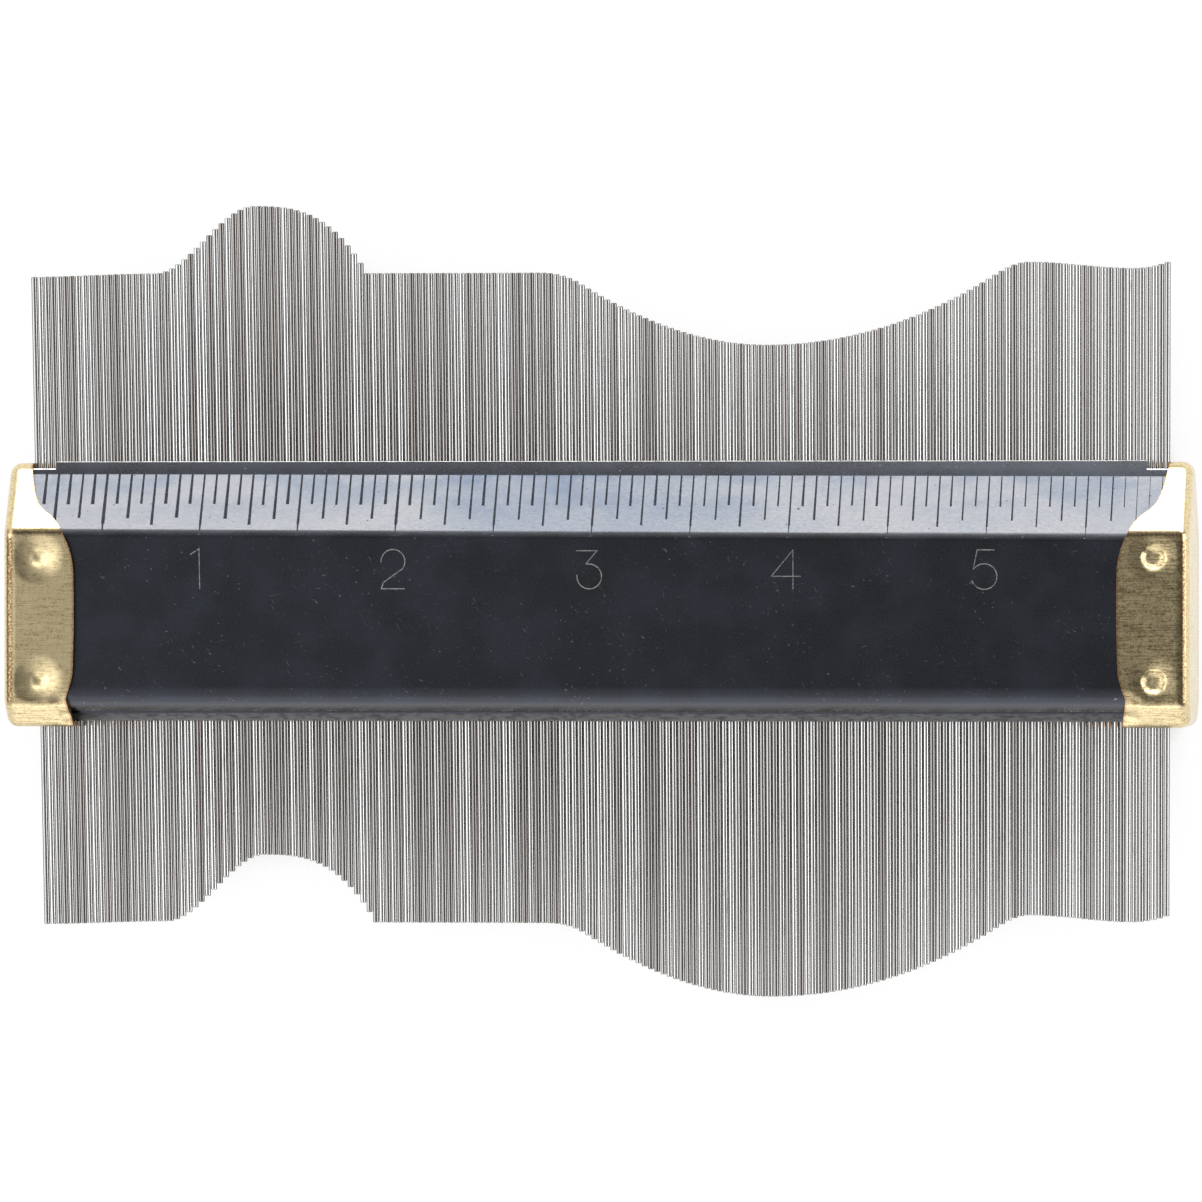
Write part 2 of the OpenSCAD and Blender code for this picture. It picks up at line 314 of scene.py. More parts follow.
@dataclass(frozen=True)
class BluedSteel:
    """Blued sheet: a dark oxide skin with cloudy patches, specks and scratches, a sheen painted lighter
    along the bend above the face, a lighter lip, and a lower roll that is partly worn and partly painted
    lighter.
    """

    name: str = "blued_steel"
    dark: Colour = (0.049, 0.052, 0.058)
    light: Colour = (0.061, 0.068, 0.086)
    bare: Colour = (0.42, 0.42, 0.42)
    clouds: Pattern = Pattern(6.0, (0.35, 0.68), detail=4.0)
    fine: Pattern = Pattern(0.25, (0.35, 0.65), detail=4.0)
    specks: Pattern = Pattern(0.36, (0.69, 0.745), (1.7, 1.0, 1.0), 35.0, 2.0, 3.0)
    speck_patches: Pattern = Pattern(9.0, (0.38, 0.58), shift=7.0)
    speck_wear: float = 0.42
    hairs: Pattern = Pattern(0.14, (0.71, 0.78), (12.0, 1.0, 1.0), 58.0, 1.0)
    strands: Pattern = Pattern(0.14, (0.73, 0.80), (16.0, 1.0, 1.0), -14.0, 1.0, 5.0)
    scratch_patches: Pattern = Pattern(5.0, (0.52, 0.64), shift=11.0)
    scratch_wear: float = 0.35
    # Painted sheen: a lighter, streaked band along the bend above the face, where the bend catches the
    # light
    sheen_streaks: Pattern = Pattern(0.5, (0.35, 0.75), (6.0, 1.0, 1.0))
    sheen_streak_share: float = 0.06
    bend_sheen: float = 0.12
    sheen_start: Point = (-0.6, 0.4)
    sheen_end: Point = (0.5, 0.7)
    # Mixes the lip above its bend a little towards bare steel, so that it renders lighter
    lip_lightening: float = 0.06
    lip_start: Point = (0.1, 1.5)
    # The lower roll: partly worn to bare steel, partly painted lighter as a sheen for the bright reflection
    # there
    roll_wear_and_sheen: float = 0.38
    roll_band_start: Point = (-0.1, 0.05)
    roll_band_end: Point = (0.2, 1.5)
    roughness: float = 0.20
    fine_roughness: float = 0.16
    cloud_roughness: float = 0.05
    bump: Point = (0.25, 0.02)

    def material(self, lip: Point, bend: Point, roll: float, half: float) -> bpy.types.Material:
        """Makes the finish. All places are in metres.

        Args:
            lip: Y of the lip's bend at the left and right ends.
            bend: Y of the bend above the face at the left and right ends, along which a lighter sheen is
                painted.
            roll: Y of the wall below the roll; just above it the skin is partly worn and partly painted
                lighter as a sheen.
            half: half the length of the strip.

        Returns:
            The material.
        """
        s = Surface(self.name)
        cloud, fine = s.marks(self.clouds), s.noise(self.fine)
        skin = s.mix(self.dark, self.light, (cloud + s.mask(fine, *self.fine.levels)) * 0.5)
        wear_and_sheen = s.marks(self.specks) * s.marks(self.speck_patches) * self.speck_wear
        scratches = (s.marks(self.hairs) + s.marks(self.strands)) * s.marks(self.scratch_patches)
        wear_and_sheen = wear_and_sheen + self.scratch_wear * scratches
        # Painted sheen: the band along the bend above the face is mixed lighter, with streaks
        bend_sheen_band = s.band(s.above(bend, half), self.sheen_start, self.sheen_end)
        wear_and_sheen = wear_and_sheen + bend_sheen_band * (s.marks(self.sheen_streaks) * self.sheen_streak_share + self.bend_sheen)
        wear_and_sheen = wear_and_sheen + s.rise(s.above(lip, half), self.lip_start) * self.lip_lightening
        # The lower roll, partly worn and partly painted lighter as a sheen
        wear_and_sheen = wear_and_sheen + s.band(s.axis("Y") - roll, self.roll_band_start, self.roll_band_end) * self.roll_wear_and_sheen
        return s.finish(
            base_color=s.mix(skin, self.bare, wear_and_sheen),
            metallic=1.0,
            roughness=fine * self.fine_roughness + cloud * self.cloud_roughness + self.roughness,
            normal=s.bump(fine, *self.bump),
        )


@dataclass(frozen=True)
class ScaleBevel:
    """The bevel's blued skin, rubbed down to a paler steel with cloudy blue patches and dark pits."""

    name: str = "scale_bevel"
    pale: Colour = (0.178, 0.181, 0.190)
    blue: Colour = (0.098, 0.117, 0.152)
    pit: Colour = (0.02, 0.02, 0.024)
    clouds: Pattern = Pattern(4.0, (0.36, 0.66), (2.2, 1.0, 1.0), detail=5.0)
    cloud_tint: float = 0.14
    upper_cloud_tint: float = 0.45
    upper_tint: float = 0.07
    upper_from: float = 0.6
    fine: Pattern = Pattern(0.2, stretch=(2.5, 1.0, 1.0), detail=4.0)
    streaks: Pattern = Pattern(0.13, (0.35, 0.75), (26.0, 1.0, 1.0), detail=2.0, shift=8.0)
    streak_tint: float = 0.12
    blue_start: Point = (-24.0, -13.0)
    blue_end: Point = (2.0, 34.0)
    blue_tint: float = 0.42
    pits: Pattern = Pattern(0.5, (0.76, 0.79), detail=1.0, shift=2.0)
    nicks: Pattern = Pattern(0.16, (0.76, 0.80), (8.0, 1.0, 1.0), -33.0, 1.0, 1.0)
    nick_patches: Pattern = Pattern(6.0, (0.54, 0.60))
    pit_share: float = 0.7
    roughness: float = 0.24
    fine_roughness: float = 0.2
    bump: Point = (0.3, 0.02)

    def material(self, lip: Point, bend: Point, half: float) -> bpy.types.Material:
        """Makes the finish. All places are in metres.

        Args:
            lip: Y of the lip's bend at the left and right ends.
            bend: Y of the bend above the face at the left and right ends.
            half: half the length of the strip.

        Returns:
            The material.
        """
        s = Surface(self.name)
        fine = s.noise(self.fine)
        upper = s.mask(s.above(bend, half), self.upper_from * MM, lip[0] - bend[0])
        tint = s.marks(self.clouds) * (upper * self.upper_cloud_tint + self.cloud_tint)
        tint = tint + upper * self.upper_tint + s.marks(self.streaks) * self.streak_tint
        tint = tint + s.band(s.axis("X"), self.blue_start, self.blue_end) * self.blue_tint
        dark = s.marks(self.pits) + s.marks(self.nicks) * s.marks(self.nick_patches)
        return s.finish(
            base_color=s.mix(s.mix(self.pale, self.blue, tint), self.pit, dark * self.pit_share),
            metallic=1.0,
            roughness=fine * self.fine_roughness + self.roughness,
            normal=s.bump(fine, *self.bump),
        )


@dataclass(frozen=True)
class BareSteel:
    """Steel where the skin is gone: sheet edges, engraved numerals and the scuffed flange."""

    name: str = "bare_steel"
    bright: Colour = (0.74, 0.74, 0.73)
    dull: Colour = (0.40, 0.40, 0.41)
    roughness: float = 0.28
    streak_roughness: float = 0.2
    streaks: Pattern = Pattern(0.3, (0.3, 0.6), (3.0, 1.0, 1.0))
    bump: Point = (0.2, 0.02)

    def material(self) -> bpy.types.Material:
        """Makes the finish.

        Returns:
            The material.
        """
        s = Surface(self.name)
        streak = s.noise(self.streaks)
        return s.finish(
            base_color=s.mix(self.dull, self.bright, s.mask(streak, *self.streaks.levels)),
            metallic=1.0,
            roughness=streak * self.streak_roughness + self.roughness,
            normal=s.bump(streak, *self.bump),
        )


ENGRAVED = BareSteel("engraved_steel", (0.42, 0.415, 0.41), (0.17, 0.168, 0.168), 0.40)
SCUFFED = BareSteel("scuffed_steel", (0.27, 0.27, 0.275), (0.145, 0.145, 0.155), 0.40)


@dataclass(frozen=True)
class Groove:
    """Dark oxide and dirt at the bottom of the graduations."""

    name: str = "groove"
    dark: Colour = (0.040, 0.045, 0.056)
    grey: Colour = (0.085, 0.092, 0.108)
    dirt: Pattern = Pattern(0.3, (0.35, 0.7), detail=2.0)
    roughness: float = 0.62
    dirt_roughness: float = 0.2
    gloss: float = 0.3

    def material(self) -> bpy.types.Material:
        """Makes the finish.

        Returns:
            The material.
        """
        s = Surface(self.name)
        dirt = s.noise(self.dirt)
        return s.finish(
            base_color=s.mix(self.dark, self.grey, s.mask(dirt, *self.dirt.levels)),
            metallic=0.0,
            roughness=dirt * self.dirt_roughness + self.roughness,
            specular_ior_level=self.gloss,
        )


@dataclass(frozen=True)
class Brass:
    """Drawn brass, brushed along the body, with brown stains in its end bends, shade painted in umber along
    its top and foot creases, and a copper tint at its edge.
    """

    name: str = "brass"
    gold: Colour = (0.87, 0.72, 0.43)
    olive: Colour = (0.50, 0.40, 0.205)
    copper: Colour = (0.46, 0.22, 0.09)
    # Umber: brown stains in the end bends, and the colour of the shade painted along the creases
    umber: Colour = (0.140, 0.080, 0.037)
    shade: Colour = (0.235, 0.180, 0.088)
    brush: Pattern = Pattern(0.2, (0.44, 0.62), (16.0, 1.0, 1.0))
    bloom: Pattern = Pattern(2.4, (0.38, 0.66), detail=5.0)
    mottle: Pattern = Pattern(0.6, (0.42, 0.66), shift=2.0)
    grain: Pattern = Pattern(0.26, (0.45, 0.60), shift=4.0)
    speckle_levels: Point = (0.35, 0.60)
    edge_levels: Point = (0.62, 1.0)
    brush_dulls: float = 0.45
    mottle_dulls: float = 0.25
    grain_dulls: float = 0.30
    olive_dulled: float = 1.3
    olive_bloom: float = 0.06
    olive_least: float = -0.37
    shade_dulled: float = 1.35
    shade_bloom: float = 0.15
    shade_least: float = 0.03
    stain_and_shade_least: float = 0.65
    stain_and_shade_speckle: float = 0.35
    copper_least: float = 0.45
    copper_speckle: float = 0.5
    roughness: float = 0.11
    brush_roughness: float = 0.16
    bloom_roughness: float = 0.08
    pressed_roughness: float = 0.16
    brush_height: float = 0.6
    grain_height: float = 0.4
    bump: Point = (0.3, 0.03)

    def material(self) -> bpy.types.Material:
        """Makes the finish.

        Returns:
            The material.
        """
        s = Surface(self.name)
        brush, grain, bloom = s.noise(self.brush), s.noise(self.grain), s.marks(self.bloom)
        dulled = s.mask(brush, *self.brush.levels) * self.brush_dulls
        dulled = dulled + s.marks(self.mottle) * self.mottle_dulls
        dulled = dulled + s.mask(grain, *self.grain.levels) * self.grain_dulls
        olive = bloom * self.olive_bloom + dulled * self.olive_dulled + self.olive_least
        shade = dulled * self.shade_dulled + bloom * self.shade_bloom + self.shade_least
        skin = s.mix(s.mix(self.gold, self.olive, olive), self.shade, s.attribute("patina") * shade)
        speckle = s.mask(grain, *self.speckle_levels)
        # Brown stains in the end bend, and shade painted along the top and foot creases
        stain = s.attribute("stain_and_crease_shade") * (self.stain_and_shade_least + self.stain_and_shade_speckle * speckle)
        edge = s.mask(s.attribute("free_edge"), *self.edge_levels)
        copper = edge * (self.copper_least + self.copper_speckle * speckle)
        uneven = brush * self.brush_roughness + bloom * self.bloom_roughness
        uneven = uneven + s.attribute("pressed") * self.pressed_roughness
        return s.finish(
            base_color=s.mix(s.mix(skin, self.umber, stain), self.copper, copper),
            metallic=1.0,
            roughness=uneven + self.roughness,
            normal=s.bump(brush * self.brush_height + grain * self.grain_height, *self.bump),
        )


@dataclass(frozen=True)
class NeedleSteel:
    """Bright drawn wire: each needle has its own tone and faint streaks, and its flanks are painted dark as
    shade in the gaps between needles.
    """

    name: str = "needle_steel"
    warm: Colour = (0.285, 0.264, 0.250)
    cool: Colour = (0.65, 0.65, 0.645)
    stain: Colour = (0.20, 0.18, 0.165)
    # Painted shade: the near-black that darkens each needle's flanks, standing in for the shadow in the
    # gaps between needles
    painted_gap_shade: Colour = (0.008, 0.0075, 0.0075)
    streaks: Pattern = Pattern(0.2, (0.55, 0.8), (1.0, 60.0, 1.0), detail=2.0)
    streak_stain: float = 0.3
    spots: Pattern = Pattern(1.6, (0.58, 0.74), (0.4, 3.0, 1.0), detail=4.0, shift=9.0)
    spot_stain: float = 0.35
    flank_levels: Point = (0.29, 0.52)
    roughness: float = 0.12
    streak_roughness: float = 0.12
    tone_roughness: float = 0.06

    def material(self) -> bpy.types.Material:
        """Makes the finish.

        Returns:
            The material.
        """
        s = Surface(self.name)
        tone = s.attribute("tone")
        streak = s.noise(self.streaks)
        stained = s.marks(self.spots) * self.spot_stain
        stained = stained + s.mask(streak, *self.streaks.levels) * self.streak_stain
        wire = s.mix(s.mix(self.warm, self.cool, tone), self.stain, stained)
        return s.finish(
            # The flanks are painted dark as shade in the gaps between needles
            base_color=s.mix(wire, self.painted_gap_shade, s.mask(s.attribute("flank"), *self.flank_levels)),
            metallic=1.0,
            roughness=streak * self.streak_roughness + tone * self.tone_roughness + self.roughness,
        )


@dataclass(frozen=True)
class SoftPad:
    """Pressed felt, open sponge or fibre inside the channels."""

    name: str
    dark: Colour
    light: Colour
    cell: float
    detail: float = 5.0
    cloud_cells: float = 12.0
    cloud_shift: float = 6.0
    cloud_share: float = 0.3
    roughness: float = 0.95
    bump_strength: float = 0.9

    def material(self) -> bpy.types.Material:
        """Makes the finish.

        Returns:
            The material.
        """
        s = Surface(self.name)
        fibre = s.noise(Pattern(self.cell, detail=self.detail))
        cloud = s.noise(Pattern(self.cell * self.cloud_cells, shift=self.cloud_shift))
        tone = fibre * (1.0 - self.cloud_share) + cloud * self.cloud_share
        return s.finish(
            base_color=s.mix(self.dark, self.light, tone),
            roughness=self.roughness,
            normal=s.bump(fibre, self.bump_strength, self.cell / 2),
        )


FELT = SoftPad("pressed_felt", (0.07, 0.075, 0.06), (0.16, 0.17, 0.13), 0.25)
SPONGE = SoftPad("open_sponge", (0.10, 0.095, 0.08), (0.30, 0.28, 0.24), 0.7)
BLOCK = SoftPad("end_block", (0.035, 0.035, 0.038), (0.06, 0.06, 0.062), 0.15)


@dataclass(frozen=True)
class Body:
    """Where the body lies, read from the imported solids. Lengths are in millimetres."""

    mid_y: float
    needle_z: float
    body_half: float
    channel_half: float
    face_z: float
    cap_half: float

    @staticmethod
    def from_frame() -> "Body":
        """Reads the places of the channels and caps.

        Returns:
            The body.
        """
        low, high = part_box("front_channel")
        cap_low, cap_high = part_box("left_end_cap")
        needle_z = (cap_low.z + cap_high.z) / 2 / MM
        return Body(
            mid_y=(low.y + high.y) / 2 / MM,
            needle_z=needle_z,
            body_half=(high.y - low.y) / 2 / MM,
            channel_half=high.x / MM,
            face_z=high.z / MM - needle_z,
            cap_half=-cap_low.x / MM,
        )

    def placing(self) -> Matrix:
        """Takes millimetres around the middle of the needle row to metres in the frame."""
        return Matrix.Scale(MM, 4) @ Matrix.Translation((0.0, self.mid_y, self.needle_z))


def inner_line(corners: Sequence[Point], thickness: float) -> list[Point]:
    """The line that runs beside an open line of corners, on its left.

    Args:
        corners: the line's corners.
        thickness: the distance between the two lines.

    Returns:
        The corners of the inner line.
    """
    points = [Vector(corner) for corner in corners]
    runs = [(b - a).normalized() for a, b in zip(points, points[1:])]
    lefts = [Vector((-run.y, run.x)) for run in runs]
    moved = []
    for index, point in enumerate(points):
        one, two = lefts[max(0, index - 1)], lefts[min(index, len(lefts) - 1)]
        moved.append(tuple(point + (one + two) * (thickness / (1.0 + one.dot(two)))))
    return moved


def round_off(
    bm: bmesh.types.BMesh, geom: Sequence[object], offset: float, segments: int, affect: str = "EDGES",
    clamp: bool = False,
) -> list[bmesh.types.BMVert]:
    """Bevels edges or corners to a round.

    Args:
        bm: the mesh.
        geom: its edges or points to bevel.
        offset: how far the bevel reaches from them.
        segments: pieces in the round.
        affect: EDGES or VERTICES.
        clamp: whether bevels that meet are held apart.

    Returns:
        The points of the bevels.
    """
    made = bmesh.ops.bevel(
        bm, geom=geom, offset=offset, offset_type="OFFSET", segments=segments,
        profile=0.5, affect=affect, clamp_overlap=clamp, material=-1,
    )
    return made["verts"]


def corner_line(
    corners: Sequence[Point], radii: Sequence[float], x: float, segments: int
) -> bmesh.types.BMesh:
    """A closed line of corners in the plane across X, each rounded by its radius.

    Args:
        corners: Y and Z of the corners.
        radii: a radius for each corner; 0 leaves it sharp.
        x: where the plane stands.
        segments: pieces in each rounded corner.

    Returns:
        A mesh of edges alone.
    """
    bm = bmesh.new()
    verts = [bm.verts.new((x, y, z)) for y, z in corners]
    for pair in zip(verts, verts[1:] + verts[:1]):
        bm.edges.new(pair)
    places = [vert.co.copy() for vert in verts]
    for index, (vert, radius) in enumerate(zip(verts, radii)):
        if radius > 0.0:
            before, corner, after = (places[(index + k) % len(places)] for k in (-1, 0, 1))
            turn = (corner - before).angle(after - corner)
            round_off(bm, [vert], radius * math.tan(turn / 2), segments, "VERTICES")
    return bm


def moved_points(made: dict[str, list]) -> list[bmesh.types.BMVert]:
    """The new points that an extrusion gives."""
    return [part for part in made["geom"] if isinstance(part, bmesh.types.BMVert)]


def push_out(bm: bmesh.types.BMesh, faces: Sequence[bmesh.types.BMFace], way: Triple) -> None:
    """Extrudes faces to a closed shape.

    Args:
        bm: the mesh.
        faces: the faces to extrude.
        way: how far and where to.
    """
    drawn = bmesh.ops.extrude_face_region(bm, geom=faces)
    bmesh.ops.translate(bm, verts=moved_points(drawn), vec=way)
    bmesh.ops.recalc_face_normals(bm, faces=bm.faces[:])


def draw_bar(bm: bmesh.types.BMesh, length: float) -> None:
    """Fills a closed line and draws it out along X to a bar."""
    end = bmesh.ops.contextual_create(bm, geom=bm.edges[:])["faces"]
    push_out(bm, end, (length, 0.0, 0.0))


def sharp_edges(bm: bmesh.types.BMesh) -> list[bmesh.types.BMEdge]:
    """The edges at which a mesh turns sharply."""
    return [edge for edge in bm.edges if edge.calc_face_angle(0.0) > SHARP_TURN]


def divide_long(bm: bmesh.types.BMesh, longer: float, cuts: int) -> None:
    """Divides the edges that are longer than a length."""
    long = [edge for edge in bm.edges if edge.calc_length() > longer]
    bmesh.ops.subdivide_edges(bm, edges=long, cuts=cuts, use_grid_fill=True)


def add_block(bm: bmesh.types.BMesh, place: Matrix, size: Triple) -> None:
    """Adds a block of a size, around a place."""
    bmesh.ops.create_cube(bm, size=1.0, matrix=place @ Matrix.Diagonal((*size, 1.0)))


def link(name: str, data: bpy.types.ID) -> bpy.types.Object:
    """Makes an object and links it to the scene.

    Args:
        name: the object's name.
        data: its mesh, lamp or camera.

    Returns:
        The object.
    """
    obj = bpy.data.objects.new(name, data)
    bpy.context.scene.collection.objects.link(obj)
    return obj


def make_object(
    name: str, bm: bmesh.types.BMesh, placing: Matrix, materials: Sequence[bpy.types.Material]
) -> bpy.types.Object:
    """Places a finished mesh in the frame as a new object.

    Args:
        name: the piece's name.
        bm: the mesh, which is freed.
        placing: takes it to metres in the frame.
        materials: the piece's finishes, by index.

    Returns:
        The object.
    """
    bmesh.ops.transform(bm, matrix=placing, verts=bm.verts[:])
    mesh = bpy.data.meshes.new(name)
    bm.to_mesh(mesh)
    bm.free()
    for material in materials:
        mesh.materials.append(material)
    return link(name, mesh)


def cut_away(obj: bpy.types.Object, cutter: bpy.types.Object, crossing: bool = False) -> None:
    """Cuts one object out of another for good, with the cutter's finishes on the cut faces.

    Args:
        obj: the object that is cut.
        cutter: the object that is taken away, which is deleted.
        crossing: whether parts of the cutter cross each other.
    """
    modifier = obj.modifiers.new("cut", "BOOLEAN")
    modifier.operation = "DIFFERENCE"
    modifier.solver = "EXACT"
    modifier.use_self = crossing
    modifier.material_mode = "TRANSFER"
    modifier.object = cutter
    shapes = bpy.context.evaluated_depsgraph_get()
    shape = bpy.data.meshes.new_from_object(obj.evaluated_get(shapes))
    obj.modifiers.clear()
    obj.data = shape
    shape.name = obj.name
    bpy.data.objects.remove(cutter)


def settle(obj: bpy.types.Object, rides: str, node: str) -> None:
    """Makes a piece part of the gauge.

    Args:
        obj: the piece.
        rides: the body that it moves with.
        node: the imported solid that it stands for.
    """
    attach(obj, rides)
    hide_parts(node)
    LOG.info("%s rides on %s and stands for %s", obj.name, rides, node)


def smooth_by_angle(mesh: bpy.types.Mesh, degrees: float) -> None:
    """Shades a mesh smooth, with sharp edges where its faces turn by more than an angle.

    Args:
        mesh: the mesh to shade.
        degrees: the angle.
    """
    bm = bmesh.new()
    bm.from_mesh(mesh)
    limit = math.radians(degrees)
    shade_smooth(bm)
    for edge in bm.edges:
        edge.smooth = len(edge.link_faces) == 2 and edge.calc_face_angle(0.0) < limit
    bm.to_mesh(mesh)
    bm.free()


def shade_smooth(bm: bmesh.types.BMesh) -> None:
    """Shades every face smooth."""
    for face in bm.faces:
        face.smooth = True


def smooth_curve(knots: Sequence[Point], at: float) -> float:
    """The height of a smooth curve through knots.

    Args:
        knots: place and height of each knot, in any order.
        at: the place that is asked for.

    Returns:
        The height there, which is level beyond both ends.
    """
    rising = sorted(knots)
    places = [knot[0] for knot in rising]
    heights = [knot[1] for knot in rising]
    last = len(rising) - 1
    if at <= places[0] or at >= places[last]:
        return heights[0] if at <= places[0] else heights[last]
    k = max(index for index in range(last) if places[index] <= at)

    def tangent(index: int) -> float:
        """The slope through a knot's neighbours."""
        low, high = max(0, index - 1), min(last, index + 1)
        return (heights[high] - heights[low]) / (places[high] - places[low])

    run = places[k + 1] - places[k]
    t = (at - places[k]) / run
    start = (2 * t**3 - 3 * t**2 + 1) * heights[k] + (t**3 - 2 * t**2 + t) * run * tangent(k)
    return start + (3 * t**2 - 2 * t**3) * heights[k + 1] + (t**3 - t**2) * run * tangent(k + 1)


def ease(low: float, high: float, at: float) -> float:
    """0 below low, 1 above high, and a smooth step between them."""
    t = min(1.0, max(0.0, (at - low) / (high - low)))
    return t * t * (3.0 - 2.0 * t)


def hump(rise: Point, fall: Point, at: float) -> float:
    """1 between a smooth rise and a smooth fall, and 0 outside them."""
    return ease(*rise, at) * (1.0 - ease(*fall, at))


def shifted(edges: Point, by: float) -> Point:
    """A pair of places, both moved."""
    return (edges[0] + by, edges[1] + by)


@dataclass
class BentSheet:
    """The sheet of a channel, bent to a lip, a bevel, a face, a roll and a flange."""

    body: Body
    thickness: float = 0.9
    lip_run: float = 1.75
    lip_slope: float = 46.0
    bevel_run: float = 7.4
    bevel_slope: float = 32.5
    bend_radius: float = 1.2
    face_bend_radius: float = 2.2
    roll_radius: float = 3.2
    flange_width: float = 1.3
    flange_fillet: float = 0.4
    bend_segments: int = 8
    edge_round: float = 0.12
    edge_segments: int = 2
    strip_cuts: int = 31
    drift_left: Point = (0.10, 0.0)
    drift_right: Point = (-0.40, -0.77)
    drift_end: float = 4.0
    crimp_inset: float = 4.55
    crimp_drop: float = 3.3
    crimp_rise: float = 5.2

    @property
    def bend_y(self) -> float:
        """Y of the bend between the bevel and the face."""
        return self.body.body_half - self.lip_run - self.bevel_run

    @property
    def lip_bend(self) -> Point:
        """Y and Z of the bend between the lip and the bevel."""
        rise = self.bevel_run * math.tan(math.radians(self.bevel_slope))
        return (self.body.body_half - self.lip_run, self.body.face_z - rise)

    @property
    def wall_y(self) -> float:
        """Y of the wall between the roll and the flange."""
        return self.flange_width - self.body.body_half

    @property
    def roll_centre(self) -> Vector:
        """Y and Z of the middle of the roll."""
        return Vector((self.wall_y + self.roll_radius, self.body.face_z - self.roll_radius))

    @property
    def crimp_levels(self) -> Point:
        """Y of the upper and the lower crimp of each cap."""
        return (self.bend_y - self.crimp_drop, self.crimp_rise - self.body.body_half)

    def drift(self, x: float) -> Point:
        """How far the two bends stray along Y.

        Args:
            x: the place along the strip.

        Returns:
            The drift of the lip's bend and of the bend above the face.
        """
        share = (x / self.body.channel_half + 1.0) / 2
        lip, bend = (a + (b - a) * share for a, b in zip(self.drift_left, self.drift_right))
        return (lip, bend)

    def stray(self, bm: bmesh.types.BMesh) -> None:
        """Lets the two bends run a little out of line with the lip's edge.

        Args:
            bm: the strip's mesh.
        """
        for vert in bm.verts:
            lip, bend = self.drift(vert.co.x)
            knots = [
                (self.body.body_half, 0.0), (self.lip_bend[0], lip),
                (self.bend_y, bend), (self.bend_y - self.drift_end, 0.0),
            ]
            vert.co.y += smooth_curve(knots, vert.co.y)

    def bend_lines(self) -> tuple[Point, Point]:
        """Finds where the two bends run.

        Returns:
            Y in metres at the left and right ends, of the lip's bend and of the bend above the face.
        """
        ends = (self.drift_left, self.drift_right)
        lip, bend = (
            tuple((self.body.mid_y + y + end[k]) * MM for end in ends)
            for k, y in enumerate((self.lip_bend[0], self.bend_y))
        )
        return lip, bend

    def corners(self) -> list[Point]:
        """Works out the outside of the section.

        Returns:
            Y and Z of its corners, from the lip's edge to the flange's edge.
        """
        lip_y, lip_z = self.lip_bend
        slope = math.radians(self.lip_slope)
        lip_drop = self.lip_run * math.tan(slope)
        flange_z = lip_z - lip_drop - self.thickness * math.cos(slope) + self.thickness
        return [
            (self.body.body_half, lip_z - lip_drop),
            (lip_y, lip_z),
            (self.bend_y, self.body.face_z),
            (self.wall_y, self.body.face_z),
            (self.wall_y, flange_z),
            (-self.body.body_half, flange_z),
        ]

    def strip(self) -> bmesh.types.BMesh:
        """Draws the bent sheet's section out along X and eases its edges.

        Returns:
            The strip's mesh.
        """
        outside = self.corners()
        inside = inner_line(outside, self.thickness)
        radii = [0.0, self.bend_radius, self.face_bend_radius, self.roll_radius, self.flange_fillet, 0.0]
        turned = [0.0, -1.0, -1.0, -1.0, 1.0, 0.0]
        under = [radius + self.thickness * turn for radius, turn in zip(radii, turned)]
        half = self.body.channel_half
        bm = corner_line(outside + inside[::-1], radii + under[::-1], -half, self.bend_segments)
        draw_bar(bm, 2 * half)
        divide_long(bm, half, self.strip_cuts)
        round_off(bm, sharp_edges(bm), self.edge_round, self.edge_segments, clamp=True)
        self.stray(bm)
        bm.normal_update()
        return bm


@dataclass
class SheetPiece:
    """A piece whose shape follows the channels' sheet."""

    sheet: BentSheet

    @property
    def body(self) -> Body:
        """Where the body lies."""
        return self.sheet.body


@dataclass(frozen=True)
class Finishes:
    """The materials that several pieces share."""

    blued: bpy.types.Material
    bevel: bpy.types.Material
    bare: bpy.types.Material
    engraved: bpy.types.Material
    scuffed: bpy.types.Material
    groove: bpy.types.Material
    brass: bpy.types.Material
    needle: bpy.types.Material

    @staticmethod
    def made_for(sheet: BentSheet) -> "Finishes":
        """Makes the materials.

        Args:
            sheet: gives the bends at which the blued skin is worn.

        Returns:
            All of them.
        """
        lip, bend = sheet.bend_lines()
        half = sheet.body.channel_half * MM
        return Finishes(
            blued=BluedSteel().material(lip, bend, (sheet.body.mid_y + sheet.wall_y) * MM, half),
            bevel=ScaleBevel().material(lip, bend, half),
            bare=BareSteel().material(),
            engraved=ENGRAVED.material(),
            scuffed=SCUFFED.material(),
            groove=Groove().material(),
            brass=Brass().material(),
            needle=NeedleSteel().material(),
        )


def arc(centre: Point, radius: float, start: float, end: float, steps: int = 14) -> list[Point]:
    """Points along an arc, with its angles in degrees."""
    angles = [math.radians(start + (end - start) * k / steps) for k in range(steps + 1)]
    return [(centre[0] + radius * math.cos(a), centre[1] + radius * math.sin(a)) for a in angles]


# Numerals drawn with single strokes, in millimetres around each numeral's middle
NUMERALS: dict[int, list[Point]] = {
    1: [(-0.95, 1.85), (0.2, 2.6), (0.3, -2.6)],
    2: arc((0.0, 1.0), 1.55, 185.0, -38.0) + [(-1.25, -1.7), (-1.5, -2.5), (1.55, -2.5)],
    3: [(-1.7, 2.4), (1.0, 2.4), (-0.45, 0.7)] + arc((0.0, -0.9), 1.6, 82.0, -188.0),
    4: [(0.85, -2.5), (0.85, 2.5), (-1.95, -0.85), (1.85, -0.85)],
    5: [(1.35, 2.55), (-0.9, 2.55), (-1.4, 0.1)] + arc((0.0, -0.85), 1.65, 128.0, -165.0),
}


